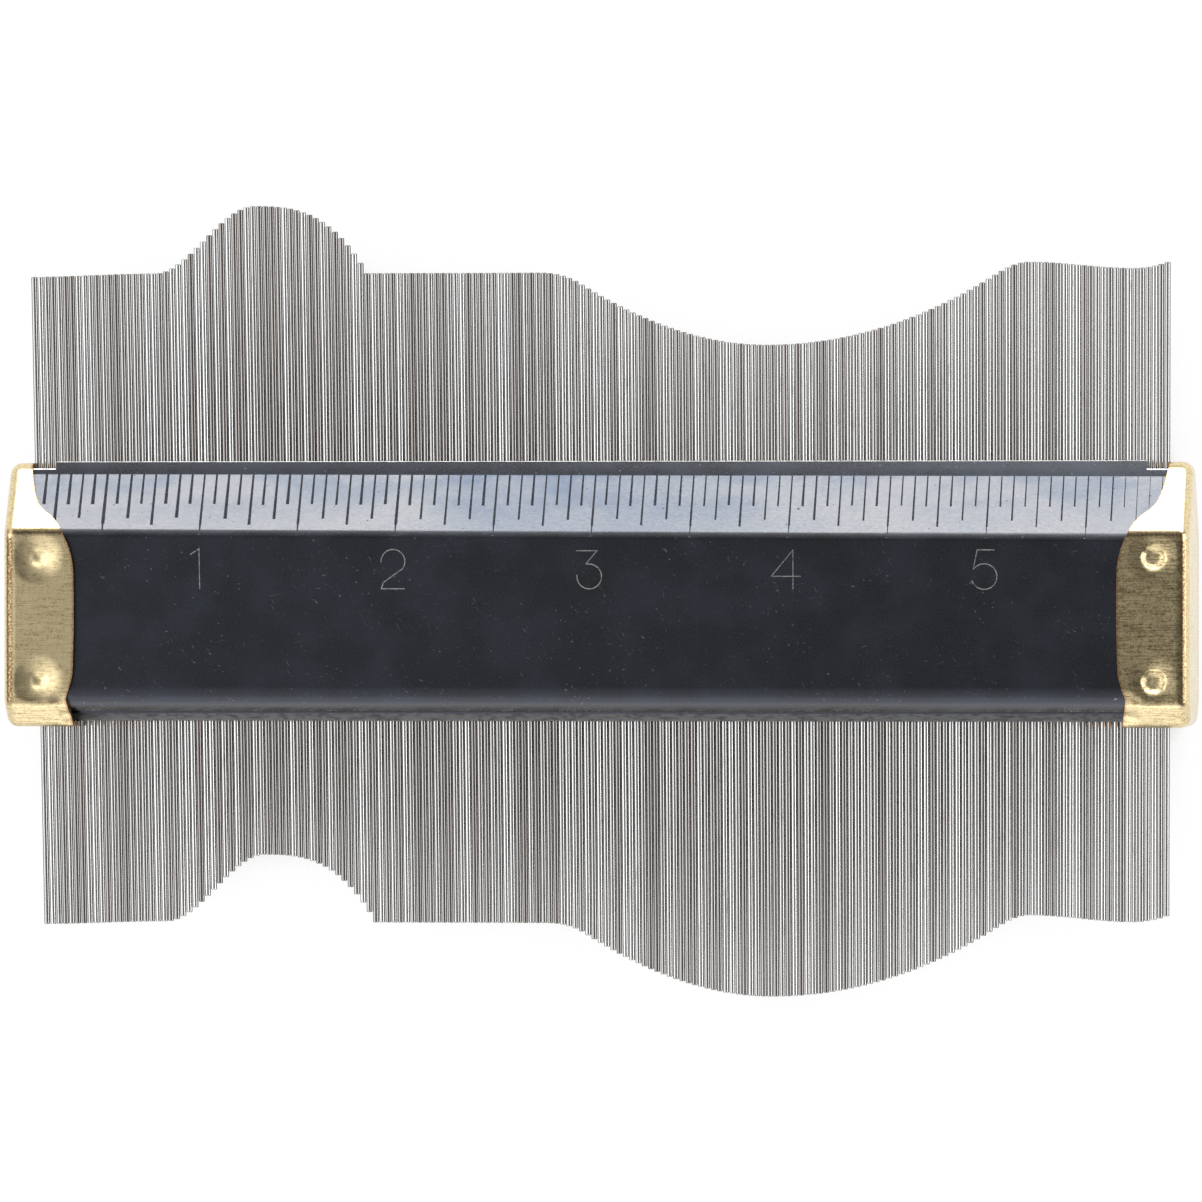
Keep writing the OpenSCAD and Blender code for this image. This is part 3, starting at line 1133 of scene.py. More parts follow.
def ribbon(bm: bmesh.types.BMesh, points: Sequence[Vector], width: float, z: float, depth: float) -> None:
    """Adds a thin closed ribbon along a flat line, half above and half below the plane at z.

    Args:
        bm: the mesh to add to.
        points: X and Y along the line.
        width: the ribbon's width.
        z: the plane's height.
        depth: how far the ribbon reaches below the plane, and above it.
    """
    sharpest = 0.5
    edges: list[tuple[bmesh.types.BMVert, bmesh.types.BMVert]] = []
    last = len(points) - 1
    for index, point in enumerate(points):
        before = (point - points[index - 1]).normalized() if index > 0 else None
        after = (points[index + 1] - point).normalized() if index < last else None
        one = before or after
        two = after or before
        bisector = (one + two).normalized()
        across = Vector((-bisector.y, bisector.x)) * (width / 2 / max(sharpest, bisector.dot(one)))
        left, right = point + across, point - across
        edges.append((bm.verts.new((*left, z - depth)), bm.verts.new((*right, z - depth))))
    floor = [bm.faces.new((a[0], a[1], b[1], b[0])) for a, b in zip(edges, edges[1:])]
    push_out(bm, floor, (0.0, 0.0, 2 * depth))


@dataclass
class Channel(SheetPiece):
    """One half of the body: a bent sheet with notched ends, with the scale on the front half."""

    finishes: Finishes
    side: Side
    notch_depths: Point = (0.92, 1.10)
    notch_reach: float = 5.9
    notch_block: float = 6.0
    crimp_hole: float = 2.9
    hole_depth: float = 6.0
    hole_sides: int = 32
    cut_margin: float = 1.0
    scale_zero: float = -76.43
    inch: float = 25.4
    tick_first: int = 3
    tick_last: int = 94
    tick_width_left: float = 0.50
    tick_width_right: float = 0.29
    tick_width_faint: float = 0.19
    faint_from: int = 91
    tick_taper: float = 0.70
    tick_width_spread: Point = (0.85, 1.1)
    tick_run_spread: float = 0.08
    tick_seed: int = 5
    tail_overlap: float = 0.3
    tail_reach: float = 0.15
    tail_widths: Point = (0.7, 0.45)
    groove_sides: int = 4
    cutter_lift: float = 0.023
    facet_slope: float = 30.0
    facet_block: float = 0.6
    lip_facet: float = 0.15
    notch_facet: float = 0.22
    dot_radius: float = 0.11
    dot_shift: Point = (-0.12, -0.15)
    numeral_shift: float = -0.25
    numeral_drop: float = 4.72
    numeral_lean: float = 0.25
    numeral_width: float = 0.14
    numeral_depth: float = 0.04
    bevel_margin: float = 0.1
    bevel_tolerance: float = 0.06
    flange_margin: float = 0.3
    edge_facing: float = 0.8
    under_facing: float = -0.3
    flange_facing: float = 0.9
    smooth_angle: float = 28.0

    def dress(self, bm: bmesh.types.BMesh) -> None:
        """Gives each face of the strip its finish: bare, scuffed, bevel or blued.

        Args:
            bm: the strip's mesh.
        """
        lip_y, _ = self.sheet.lip_bend
        bend_y, flange_y = self.sheet.bend_y, self.sheet.wall_y - self.flange_margin
        slope = math.cos(math.radians(self.sheet.bevel_slope))
        for face in bm.faces:
            y, normal = face.calc_center_median().y, face.normal
            on_bevel = bend_y - self.bevel_margin < y < lip_y + self.bevel_margin
            if y > lip_y and (normal.y > self.edge_facing or normal.z < self.under_facing):
                face.material_index = Coat.BARE
            elif y < flange_y and normal.z > self.flange_facing:
                face.material_index = Coat.SCUFFED
            elif on_bevel and abs(normal.z - slope) < self.bevel_tolerance:
                face.material_index = Coat.BEVEL
            else:
                face.material_index = Coat.BLUED

    def graduations(self, kind: Tick | None = None) -> list[tuple[int, float]]:
        """The graduations, all of them or those of one kind.

        Args:
            kind: the kind that is wanted, or None.

        Returns:
            The number of each in sixteenths of an inch, and its X.
        """
        numbers = range(self.tick_first, self.tick_last + 1)
        wanted = [number for number in numbers if kind is None or Tick.of(number) is kind]
        return [(number, self.scale_zero + number * self.inch / SIXTEENTHS) for number in wanted]

    def bevel_point(self, x: float, run: float) -> Vector:
        """Finds a point on the bevel's surface.

        Args:
            x: its place along the strip.
            run: how far it lies down from the lip's bend.

        Returns:
            The point.
        """
        lip, bend = self.sheet.drift(x)
        start_y, start_z = self.sheet.lip_bend
        steepness = (self.body.face_z - start_z) / (self.sheet.bevel_run + lip - bend)
        return Vector((x, start_y + lip - run, start_z + run * steepness))

    def tick_width(self, number: int) -> float:
        """Width of a graduation, which narrows from the left to the right.

        Args:
            number: its number of sixteenths of an inch.

        Returns:
            The width.
        """
        if number >= self.faint_from:
            return self.tick_width_faint
        share = (number - self.tick_first) / (self.tick_last - self.tick_first)
        return self.tick_width_left + (self.tick_width_right - self.tick_width_left) * share

    def cut_ticks(self, bm: bmesh.types.BMesh) -> None:
        """Adds a slim V-shaped cutter for every graduation.

        Args:
            bm: the cutters' mesh.
        """
        rng = random.Random(self.tick_seed)
        for number, x in self.graduations():
            width = self.tick_width(number) * rng.uniform(*self.tick_width_spread)
            run = min(Tick.of(number).value, Tick.QUARTER.value)
            run += rng.uniform(-self.tick_run_spread, self.tick_run_spread)
            self.cut_groove(bm, x, (0.0, run), (width * self.tick_taper, width))

    def cut_tails(self, bm: bmesh.types.BMesh) -> None:
        """Adds the fine cutters that take the half-inch lines down to the face.

        Args:
            bm: the cutters' mesh.
        """
        for number, x in self.graduations(Tick.HALF_INCH):
            lip, bend = self.sheet.drift(x)
            end = self.sheet.bevel_run + lip - bend + self.tail_reach
            start, finish = (self.tick_width(number) * share for share in self.tail_widths)
            self.cut_groove(bm, x, (Tick.QUARTER.value - self.tail_overlap, end), (start, finish))

    def cut_groove(self, bm: bmesh.types.BMesh, x: float, runs: Point, widths: Point) -> None:
        """Adds one V-shaped cutter along the bevel.

        Args:
            bm: the cutters' mesh.
            x: its place along the strip.
            runs: how far down the bevel it starts and ends.
            widths: its width there.
        """
        top, end = self.bevel_point(x, runs[0]), self.bevel_point(x, runs[1])
        slope = math.atan2(end.z - top.z, top.y - end.y)
        clear = Vector((0.0, math.sin(slope), math.cos(slope))) * self.cutter_lift
        place = Matrix.Translation((top + end) / 2 + clear) @ Matrix.Rotation(math.pi / 2 - slope, 4, "X")
        bmesh.ops.create_cone(
            bm, cap_ends=True, segments=self.groove_sides, radius1=widths[0] / 2, radius2=widths[1] / 2,
            depth=(end - top).length, matrix=place,
        )

    def cut_bright_edges(self, bm: bmesh.types.BMesh) -> None:
        """Adds the cutters that leave a narrow bright facet along the lip's edge and its notches.

        Args:
            bm: the cutters' mesh.
        """
        tilt = Matrix.Rotation(-math.radians(self.facet_slope), 4, "X")
        notch = self.body.cap_half - self.notch_reach
        end = self.body.channel_half + self.cut_margin
        left, right = (self.body.body_half - depth for depth in self.notch_depths)
        strips = [(-notch, notch, self.body.body_half, self.lip_facet)]
        strips += [(-end, -notch, left, self.notch_facet), (notch, end, right, self.notch_facet)]
        edge_y, edge_z = self.sheet.corners()[0]
        for start, stop, y, width in strips:
            middle = (start + stop) / 2
            lip_y, lip_z = self.sheet.lip_bend[0] + self.sheet.drift(middle)[0], self.sheet.lip_bend[1]
            z = edge_z + (edge_y - y) * (lip_z - edge_z) / (edge_y - lip_y)
            shift = Matrix.Translation((0.0, (self.facet_block - width) / 2, self.facet_block / 2))
            place = Matrix.Translation((middle, y, z)) @ tilt @ shift
            add_block(bm, place, (stop - start, width + self.facet_block, self.facet_block))

    def cut_dots(self, bm: bmesh.types.BMesh) -> None:
        """Adds the cutters for the bright nicks where the half-inch lines meet the face.

        Args:
            bm: the cutters' mesh.
        """
        for _, x in self.graduations(Tick.HALF_INCH):
            y = self.sheet.bend_y + self.sheet.drift(x)[1] + self.dot_shift[1]
            place = Matrix.Translation((x + self.dot_shift[0], y, self.body.face_z + self.cutter_lift))
            bmesh.ops.create_icosphere(bm, subdivisions=1, radius=self.dot_radius, matrix=place)

    def cut_notches(self, bm: bmesh.types.BMesh) -> None:
        """Adds the cutters that take the lip down at both ends.

        Args:
            bm: the cutters' mesh.
        """
        reach = self.notch_reach + self.cut_margin
        for sign, depth in zip((-1, 1), self.notch_depths):
            x = sign * (self.body.cap_half - self.notch_reach + reach / 2)
            y = self.body.body_half - depth / 2 + self.cut_margin / 2
            place = Matrix.Translation((x, y, self.notch_block / 2))
            add_block(bm, place, (reach, depth + self.cut_margin, self.notch_block))

    def cut_crimp_holes(self, bm: bmesh.types.BMesh) -> None:
        """Adds the cutters for the holes that the caps' crimps are pressed into.

        Args:
            bm: the cutters' mesh.
        """
        for sign in (-1, 1):
            for y in self.sheet.crimp_levels:
                place = (sign * (self.body.cap_half - self.sheet.crimp_inset), y, self.body.face_z)
                bmesh.ops.create_cone(
                    bm, cap_ends=True, segments=self.hole_sides, radius1=self.crimp_hole,
                    radius2=self.crimp_hole, depth=self.hole_depth, matrix=Matrix.Translation(place),
                )

    def cut_numerals(self, bm: bmesh.types.BMesh) -> None:
        """Adds thin ribbons that engrave the inch numerals into the face.

        Args:
            bm: the cutters' mesh.
        """
        for number, stroke in NUMERALS.items():
            x = self.scale_zero + number * self.inch + self.numeral_shift
            y = self.sheet.bend_y - self.numeral_drop + self.sheet.drift(x)[1] * self.numeral_lean
            points = [Vector((x + u, y + v)) for u, v in stroke]
            ribbon(bm, points, self.numeral_width, self.body.face_z, self.numeral_depth)

    def build(self) -> None:
        """Makes the channel, engraved on the front half, mirrored on the rear one."""
        bm = self.sheet.strip()
        self.dress(bm)
        f = self.finishes
        placing = self.body.placing()
        coats = [f.blued, f.bevel, f.bare, f.scuffed]
        obj = make_object(f"{self.side.word}_blued_channel", bm, placing, coats)
        cuts = [(self.cut_notches, f.bare), (self.cut_bright_edges, f.bare)]
        cuts += [(self.cut_crimp_holes, f.blued)]
        if self.side is Side.FRONT:
            cuts += [(self.cut_ticks, f.groove), (self.cut_tails, f.groove)]
            cuts += [(self.cut_dots, f.bare), (self.cut_numerals, f.engraved)]
        for add_cutters, finish in cuts:
            cutter = bmesh.new()
            add_cutters(cutter)
            # Of all the cutters, only the numerals' strokes cross themselves
            crossing = finish is f.engraved
            cut_away(obj, make_object("cutter", cutter, placing, [finish]), crossing)
        if self.side is Side.REAR:
            self.turn_over(obj)
        smooth_by_angle(obj.data, self.smooth_angle)
        obj.modifiers.new("flats stay flat", "WEIGHTED_NORMAL").keep_sharp = True
        settle(obj, FRAME_BODY, f"{self.side.word}_channel")

    def turn_over(self, obj: bpy.types.Object) -> None:
        """Mirrors the mesh through the needle row, to the back of the gauge.

        Args:
            obj: the channel.
        """
        centre = Matrix.Translation((0.0, 0.0, self.body.needle_z * MM))
        obj.data.transform(centre @ UPSIDE_DOWN @ centre.inverted())
        obj.data.flip_normals()


@dataclass
class EndCap(SheetPiece):
    """A drawn brass cup over one end of both channels, crimped to them by two dimples a side."""

    finishes: Finishes
    side: Side
    wall: float = 0.65
    gap: float = 0.06
    bend: float = 1.5
    bend_segments: int = 7
    top_radius: float = 1.9
    crease_radius: float = 1.6
    crease_segments: int = 6
    chamfer_run: float = 2.95
    chamfer_slope: float = 44.0
    top_inset: float = 0.95
    mesh_step: float = 0.30
    ring_count: int = 28
    wall_run: float = 0.9
    slot_half: float = 0.63
    slot_depth: float = 2.5
    edge_round: float = 0.14
    edge_segments: int = 2
    smooth_angle: float = 50.0
    pit_floor: float = 0.30
    pit_radius: float = 1.4
    pit_depth: float = 0.34
    dish_radius: float = 3.4
    dish_depth: float = 0.46
    curl: float = 0.8
    curl_reach: Point = (0.2, 2.6)
    curl_height: Point = (0.18, 0.5)
    face_band: float = 1.0
    edge_band: float = 1.0
    tarnish: float = 0.04
    # Darkens the brass below the face, on the chamfer and foot, with the patina colour
    foot_darkening: float = 0.2
    tarnish_rise: Point = (-0.3, 0.5)
    tarnish_fall: Point = (-1.1, -0.4)
    stain: Point = (0.58, 1.2)
    stain_rise: float = 0.2
    stain_fall: float = 0.25
    # Shade painted in umber along the crease under the top bevel: its strength and where it rises and falls
    top_crease_shade: float = 0.8
    top_crease_shade_rise: Point = (-0.8, -0.25)
    top_crease_shade_fall: Point = (0.0, 0.3)
    # Shade painted in umber along the crease above the foot: its strength and where it rises and falls
    foot_crease_shade: float = 0.45
    foot_crease_shade_rise: Point = (-0.1, 0.15)
    foot_crease_shade_fall: Point = (0.35, 0.75)

    # Depth of the cap's free edge, by Y from the middle of the body
    FREE_EDGE = (
        (16.6, 2.95), (14.2, 3.35), (12.4, 3.85), (11.4, 4.3), (10.5, 5.1),
        (9.6, 6.3), (8.6, 7.2), (7.2, 7.95), (5.2, 8.75), (2.5, 9.2),
        (-10.3, 9.1), (-12.6, 8.6), (-13.9, 8.2), (-15.5, 8.35), (-17.4, 8.75),
    )

    @property
    def stand_off(self) -> float:
        """From the channel's outside to the cap's outside."""
        return self.gap + self.wall

    @property
    def face_z(self) -> float:
        """Z of the cap's face."""
        return self.body.face_z + self.stand_off

    def seat(self) -> list[Point]:
        """Works out the section of the cap's outside.

        Returns:
            Y and Z of its corners, as a loop.
        """
        slope = math.radians(self.sheet.bevel_slope)
        top = self.body.body_half - self.top_inset + self.stand_off
        foot = -self.body.body_half - self.stand_off
        drift = self.sheet.drift(self.side.sign * self.body.channel_half)[1]
        bend_y = self.sheet.bend_y + drift / 2 + self.stand_off * math.tan(slope / 2)
        front = [
            (top, self.face_z - (top - bend_y) * math.tan(slope)),
            (bend_y, self.face_z),
            (foot + self.chamfer_run, self.face_z),
            (foot, self.face_z - self.chamfer_run * math.tan(math.radians(self.chamfer_slope))),
        ]
        return front + [(y, -z) for y, z in reversed(front)]

    def depth_at(self, y: float) -> float:
        """Depth of the free edge at a place around the cap."""
        return smooth_curve(self.FREE_EDGE, y)

    def cup(self) -> bmesh.types.BMesh:
        """Draws the cup: a rounded loop, drawn out to its mouth, with its end closed and bent.

        Returns:
            The mesh of its outside.
        """
        radii = [self.top_radius] + [self.crease_radius] * 3
        bm = corner_line(self.seat(), radii + radii[::-1], 0.0, self.crease_segments)
        for edge in bm.edges[:]:
            cuts = math.ceil(edge.calc_length() / self.mesh_step) - 1
            if cuts > 0:
                bmesh.ops.subdivide_edges(bm, edges=[edge], cuts=cuts)
        rim = bm.edges[:]
        mouth = moved_points(bmesh.ops.extrude_edge_only(bm, edges=rim))
        for vert in mouth:
            vert.co.x = self.depth_at(vert.co.y)
        bmesh.ops.contextual_create(bm, geom=rim)
        bmesh.ops.recalc_face_normals(bm, faces=bm.faces[:])
        round_off(bm, rim, self.bend, self.bend_segments)
        runs = [(edge, abs(edge.verts[0].co.x - edge.verts[1].co.x)) for edge in bm.edges]
        walls = [edge for edge, run in runs if run > self.wall_run]
        bmesh.ops.subdivide_edges(bm, edges=walls, cuts=self.ring_count, use_grid_fill=True)
        return bm

    def crimp(self, bm: bmesh.types.BMesh) -> None:
        """Presses the dimples in, marks where the brass is stained, tarnished, pressed or cut, and paints
        shade along its creases.

        Args:
            bm: the cup's mesh.
        """
        layers = bm.verts.layers.float
        near, bent, dull, pressed = (
            layers.new(name) for name in ("free_edge", "stain_and_crease_shade", "patina", "pressed")
        )
        places = [Vector((self.sheet.crimp_inset, y)) for y in self.sheet.crimp_levels]
        (high, _), (low, _) = self.seat()[1:3]
        start, stop = self.stain
        for vert in bm.verts:
            inset = self.depth_at(vert.co.y) - vert.co.x
            vert[near] = max(0.0, 1.0 - inset / self.edge_band)
            self.tuck(vert, inset)
            x, y = vert.co.x, vert.co.y
            if abs(vert.co.z) > self.face_z - self.face_band:
                along = hump(shifted(self.tarnish_rise, low), shifted(self.tarnish_fall, high), y)
                # Shade painted along the crease under the top bevel and the crease above the foot
                crease = hump(shifted(self.top_crease_shade_rise, high), shifted(self.top_crease_shade_fall, high), y)
                crease *= self.top_crease_shade
                foot = hump(shifted(self.foot_crease_shade_rise, low), shifted(self.foot_crease_shade_fall, low), y)
                crease += foot * self.foot_crease_shade
                inside = ease(start - self.stain_rise, start, x)
                stain = inside * (1.0 - ease(stop, stop + self.stain_fall, x))
                # The stronger of the end bend's stain and the painted crease shade
                vert[bent] = max(along * stain, crease * inside)
                vert[dull] = along * ease(start, stop, x) * self.tarnish
                press = sum(self.dimple((vert.co.xy - place).length) for place in places)
                vert[pressed] = min(1.0, press / self.pit_depth)
                vert.co.z -= math.copysign(press, vert.co.z)
            # Below the face, the chamfer and foot are darkened with the patina colour
            if y < low:
                vert[dull] = max(vert[dull], self.foot_darkening)

    def tuck(self, vert: bmesh.types.BMVert, inset: float) -> None:
        """Curls the chamfer's free edge in towards the channel's roll.

        Args:
            vert: a point on the cap's outside.
            inset: how far it lies from the free edge.
        """
        centre = self.sheet.roll_centre
        arm = Vector((vert.co.y, abs(vert.co.z))) - centre
        if arm.x < 0.0 < arm.y:
            lift = arm.length - self.sheet.roll_radius - self.gap - self.wall
            share = self.curl * (1.0 - ease(*self.curl_reach, inset))
            share *= ease(*self.curl_height, arm.y / arm.length)
            moved = centre + arm * (1.0 - max(0.0, lift) * share / arm.length)
            vert.co.y = moved.x
            vert.co.z = math.copysign(moved.y, vert.co.z)

    def dimple(self, distance: float) -> float:
        """Depth of a crimp at a distance from its middle: a round pit in a shallow dish."""
        dish = max(0.0, 1.0 - (distance / self.dish_radius) ** 2) ** 2 * self.dish_depth
        return dish + (1.0 - ease(self.pit_floor, self.pit_radius, distance)) * self.pit_depth

    def build(self) -> None:
        """Makes the cap at its end of the body."""
        bm = self.cup()
        self.crimp(bm)
        sign = self.side.sign
        end = Matrix.Translation((sign * self.body.cap_half, 0.0, 0.0))
        bmesh.ops.transform(bm, matrix=end @ Matrix.Diagonal((-sign, 1.0, 1.0, 1.0)), verts=bm.verts[:])
        bmesh.ops.recalc_face_normals(bm, faces=bm.faces[:])
        shade_smooth(bm)
        placing = self.body.placing()
        obj = make_object(f"{self.side.word}_brass_cap", bm, placing, [self.finishes.brass])
        wall = obj.modifiers.new("wall", "SOLIDIFY")
        wall.thickness = self.wall * MM
        wall.offset = -1.0
        wall.use_even_offset = True
        slot = bmesh.new()
        reach = 2 * self.body.cap_half - 2 * self.slot_depth
        add_block(slot, Matrix.Identity(4), (reach, 4 * self.body.body_half, 2 * self.slot_half))
        cut_away(obj, make_object("cutter", slot, placing, [self.finishes.brass]))
        smooth_by_angle(obj.data, self.smooth_angle)
        rim = obj.modifiers.new("eased edge", "BEVEL")
        rim.width = self.edge_round * MM
        rim.segments = self.edge_segments
        rim.limit_method = "ANGLE"
        rim.angle_limit = SHARP_TURN
        settle(obj, FRAME_BODY, f"{self.side.word}_end_cap")


@dataclass
class NeedleRow:
    """The needles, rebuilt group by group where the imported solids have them."""

    body: Body
    finishes: Finishes
    group_size: int = 4
    tip_chamfer: float = 0.1
    sides: int = 16
    short_edge: float = 1.0
    level_gap: float = 0.01
    # Spread of each needle's strength of painted gap shade on its flanks
    gap_shade_spread: Point = (0.8, 1.5)
    seed: int = 11

    def needles_of(self, node: str, axis: Vector) -> list[tuple[Vector, Vector]]:
        """Finds the needles in a group's solids.

        Args:
            node: the group's node.
            axis: the direction along its needles.

        Returns:
            The two tips of each needle, in millimetres in the frame.
        """
        across = Vector((axis.y, -axis.x, 0.0))
        points = [vert.co / MM for vert in frame["nodes"][node].data.vertices]
        sideways = [point.dot(across) for point in points]
        low, high = min(sideways), max(sideways)
        pitch = (high - low - 2 * NEEDLE_RADIUS) / (self.group_size - 1)
        tips = []
        for index in range(self.group_size):
            centre = low + NEEDLE_RADIUS + index * pitch
            along = [p.dot(axis) for p, s in zip(points, sideways) if abs(s - centre) < pitch / 2]
            foot = across * centre + Vector((0.0, 0.0, self.body.needle_z))
            tips.append((foot + axis * min(along), foot + axis * max(along)))
        return tips

    def add_needle(self, bm: bmesh.types.BMesh, tips: tuple[Vector, Vector], rng: random.Random) -> None:
        """Adds one needle with chamfered tips, its own tone and its own share of painted gap shade on its
        flanks.

        Args:
            bm: the group's mesh.
            tips: the needle's two ends.
            rng: draws the tone and the strength of the painted gap shade.
        """
        tones, flanks = bm.verts.layers.float["tone"], bm.verts.layers.float["flank"]
        tone = rng.random()
        gap_shade_share = rng.uniform(*self.gap_shade_spread)
        start, end = tips
        along = end - start
        turn = along.to_track_quat("Z", "Y").to_matrix().to_4x4()
        made = bmesh.ops.create_cone(
            bm, cap_ends=True, segments=self.sides, radius1=NEEDLE_RADIUS, radius2=NEEDLE_RADIUS,
            depth=along.length, matrix=Matrix.Translation((start + end) / 2) @ turn,
        )
        around = {edge for vert in made["verts"] for edge in vert.link_edges}
        rings = [edge for edge in around if edge.calc_length() < self.short_edge]
        for vert in round_off(bm, rings, self.tip_chamfer, segments=1):
            vert[tones] = tone
            # Painted gap shade: strongest on the flanks at the row's level, none at the top and bottom
            vert[flanks] = (1.0 - abs(vert.co.z - self.body.needle_z) / NEEDLE_RADIUS) * gap_shade_share
            for edge in vert.link_edges:
                edge.smooth = edge.calc_length() > self.short_edge

    def halve_tips(self, bm: bmesh.types.BMesh) -> None:
        """Halves each cut tip along its level middle, so that any triangulation gives it the same painted
        flank shade.

        Args:
            bm: the group's mesh.
        """
        level = [
            vert for face in bm.faces if len(face.verts) == self.sides
            for vert in face.verts if abs(vert.co.z - self.body.needle_z) < self.level_gap
        ]
        bmesh.ops.connect_verts(bm, verts=level)

    def build(self) -> None:
        """Makes one piece for each group."""
        rng = random.Random(self.seed)
        for joint in frame["joints"]:
            node = joint["child"]
            bm = bmesh.new()
            bm.verts.layers.float.new("tone")
            bm.verts.layers.float.new("flank")
            for tips in self.needles_of(node, Vector(joint["axis"])):
                self.add_needle(bm, tips, rng)
            self.halve_tips(bm)
            for face in bm.faces:
                face.smooth = len(face.verts) == 4
            name = node.replace("needles", "needle_group")
            obj = make_object(name, bm, Matrix.Scale(MM, 4), [self.finishes.needle])
            settle(obj, node, node)


@dataclass
class Padding(SheetPiece):
    """The felt that grips the needles and the sponge that presses it on them, inside both channels."""

    gap: float = 0.06
    slack: float = 0.55
    felt_thick: float = 2.0
    corner: float = 0.45
    corner_segments: int = 3
    end_round: float = 0.405
    ring_step: float = 2.5
    crumple: float = 0.05
    fill: float = 0.8
    seed: int = 3

    @property
    def low(self) -> float:
        """Y of the pads' lower side, inside the channel's wall."""
        return self.sheet.wall_y + self.sheet.thickness + self.gap

    def inner_bevel(self, z: float) -> float:
        """Y of the inside of the bevel at a height, less the pads' slack.

        Args:
            z: the height.

        Returns:
            The place.
        """
        slope = math.radians(self.sheet.bevel_slope)
        drop = self.body.face_z - self.sheet.thickness / math.cos(slope) - z
        return self.sheet.bend_y + drop / math.tan(slope) - self.slack

    def felt_section(self) -> list[Point]:
        """Works out a felt strip's section.

        Returns:
            Y and Z of its corners.
        """
        under = NEEDLE_RADIUS + self.gap
        top = under + self.felt_thick
        high = self.inner_bevel(top)
        return [(self.low, under), (high, under), (high, top), (self.low, top)]

    def sponge_section(self) -> list[Point]:
        """Works out a sponge pad's section, from the felt to the inside of the channel.

        Returns:
            Y and Z of its corners.
        """
        under = NEEDLE_RADIUS + self.felt_thick + 2 * self.gap
        top = self.body.face_z - self.sheet.thickness - self.gap
        roll_y, roll_z = self.sheet.roll_centre
        bevel = [(self.inner_bevel(under), under), (self.inner_bevel(top), top)]
        return [(self.low, under)] + bevel + [(roll_y, top), (self.low, roll_z)]

    def pad(self, section: Sequence[Point]) -> bmesh.types.BMesh:
        """Draws a soft rounded section out along X, with round ends and a slightly crumpled side.

        Args:
            section: the section's corners.

        Returns:
            The pad's mesh.
        """
        half = self.body.channel_half - self.gap
        bm = corner_line(section, [self.corner] * len(section), -half, self.corner_segments)
        draw_bar(bm, 2 * half)
        round_off(bm, sharp_edges(bm), self.end_round, self.corner_segments, clamp=True)
        divide_long(bm, half, round(2 * half / self.ring_step))
        self.pull_in(bm)
        return bm

    def pull_in(self, bm: bmesh.types.BMesh) -> None:
        """Pulls each ring of a pad in by its own small amount.

        Args:
            bm: the pad's mesh.
        """
        rng = random.Random(self.seed)
        amounts: dict[int, float] = {}
        bm.normal_update()
        normals = [vert.normal.copy() for vert in bm.verts]
        for vert, normal in zip(bm.verts, normals):
            ring = round(vert.co.x / self.ring_step)
            if ring not in amounts:
                amounts[ring] = rng.uniform(0.0, self.crumple)
            vert.co -= normal * amounts[ring]

    def build(self) -> None:
        """Makes both felt strips and both sponge pads, and dresses the end blocks."""
        felt, sponge = FELT.material(), SPONGE.material()
        kinds = (("felt", self.felt_section(), felt), ("sponge", self.sponge_section(), sponge))
        for side in (Side.FRONT, Side.REAR):
            for kind, section, finish in kinds:
                bm = self.pad(section)
                if side is Side.REAR:
                    bmesh.ops.transform(bm, matrix=UPSIDE_DOWN, verts=bm.verts[:])
                    bmesh.ops.reverse_faces(bm, faces=bm.faces[:])
                shade_smooth(bm)
                piece = make_object(f"{side.word}_{kind}_pad", bm, self.body.placing(), [finish])
                settle(piece, FRAME_BODY, f"{side.word}_{kind}")
        block = BLOCK.material()
        for end in (Side.LEFT, Side.RIGHT):
            node = f"{end.word}_end_block"
            coats = frame["nodes"][node].data.materials
            coats.clear()
            coats.append(block)
            LOG.info("%s keeps its solid with a new finish", node)


@dataclass(frozen=True)
class Lamp:
    """A soft box that faces the gauge, in metres; a radiance of 1 looks white."""

    name: str
    place: Triple
    size: Point
    radiance: float

    def hang(self) -> None:
        """Adds the lamp to the scene."""
        data = bpy.data.lights.new(self.name, "AREA")
        data.shape = "RECTANGLE"
        data.size, data.size_y = self.size
        data.energy = self.radiance * math.pi * self.size[0] * self.size[1]
        obj = link(self.name, data)
        obj.location = self.place
        obj.rotation_euler = (-Vector(self.place)).to_track_quat("-Z", "Y").to_euler()


LAMPS = (
    Lamp("scale_box", (0.16, 0.80, 0.38), (1.50, 0.32), 4.5),
    Lamp("left_box", (-0.75, 0.05, 0.52), (0.90, 0.55), 1.6),
    Lamp("right_box", (0.86, 0.0, 0.32), (0.80, 0.50), 3.1),
    Lamp("near_box", (0.0, -0.90, 0.30), (1.40, 0.70), 0.72),
)


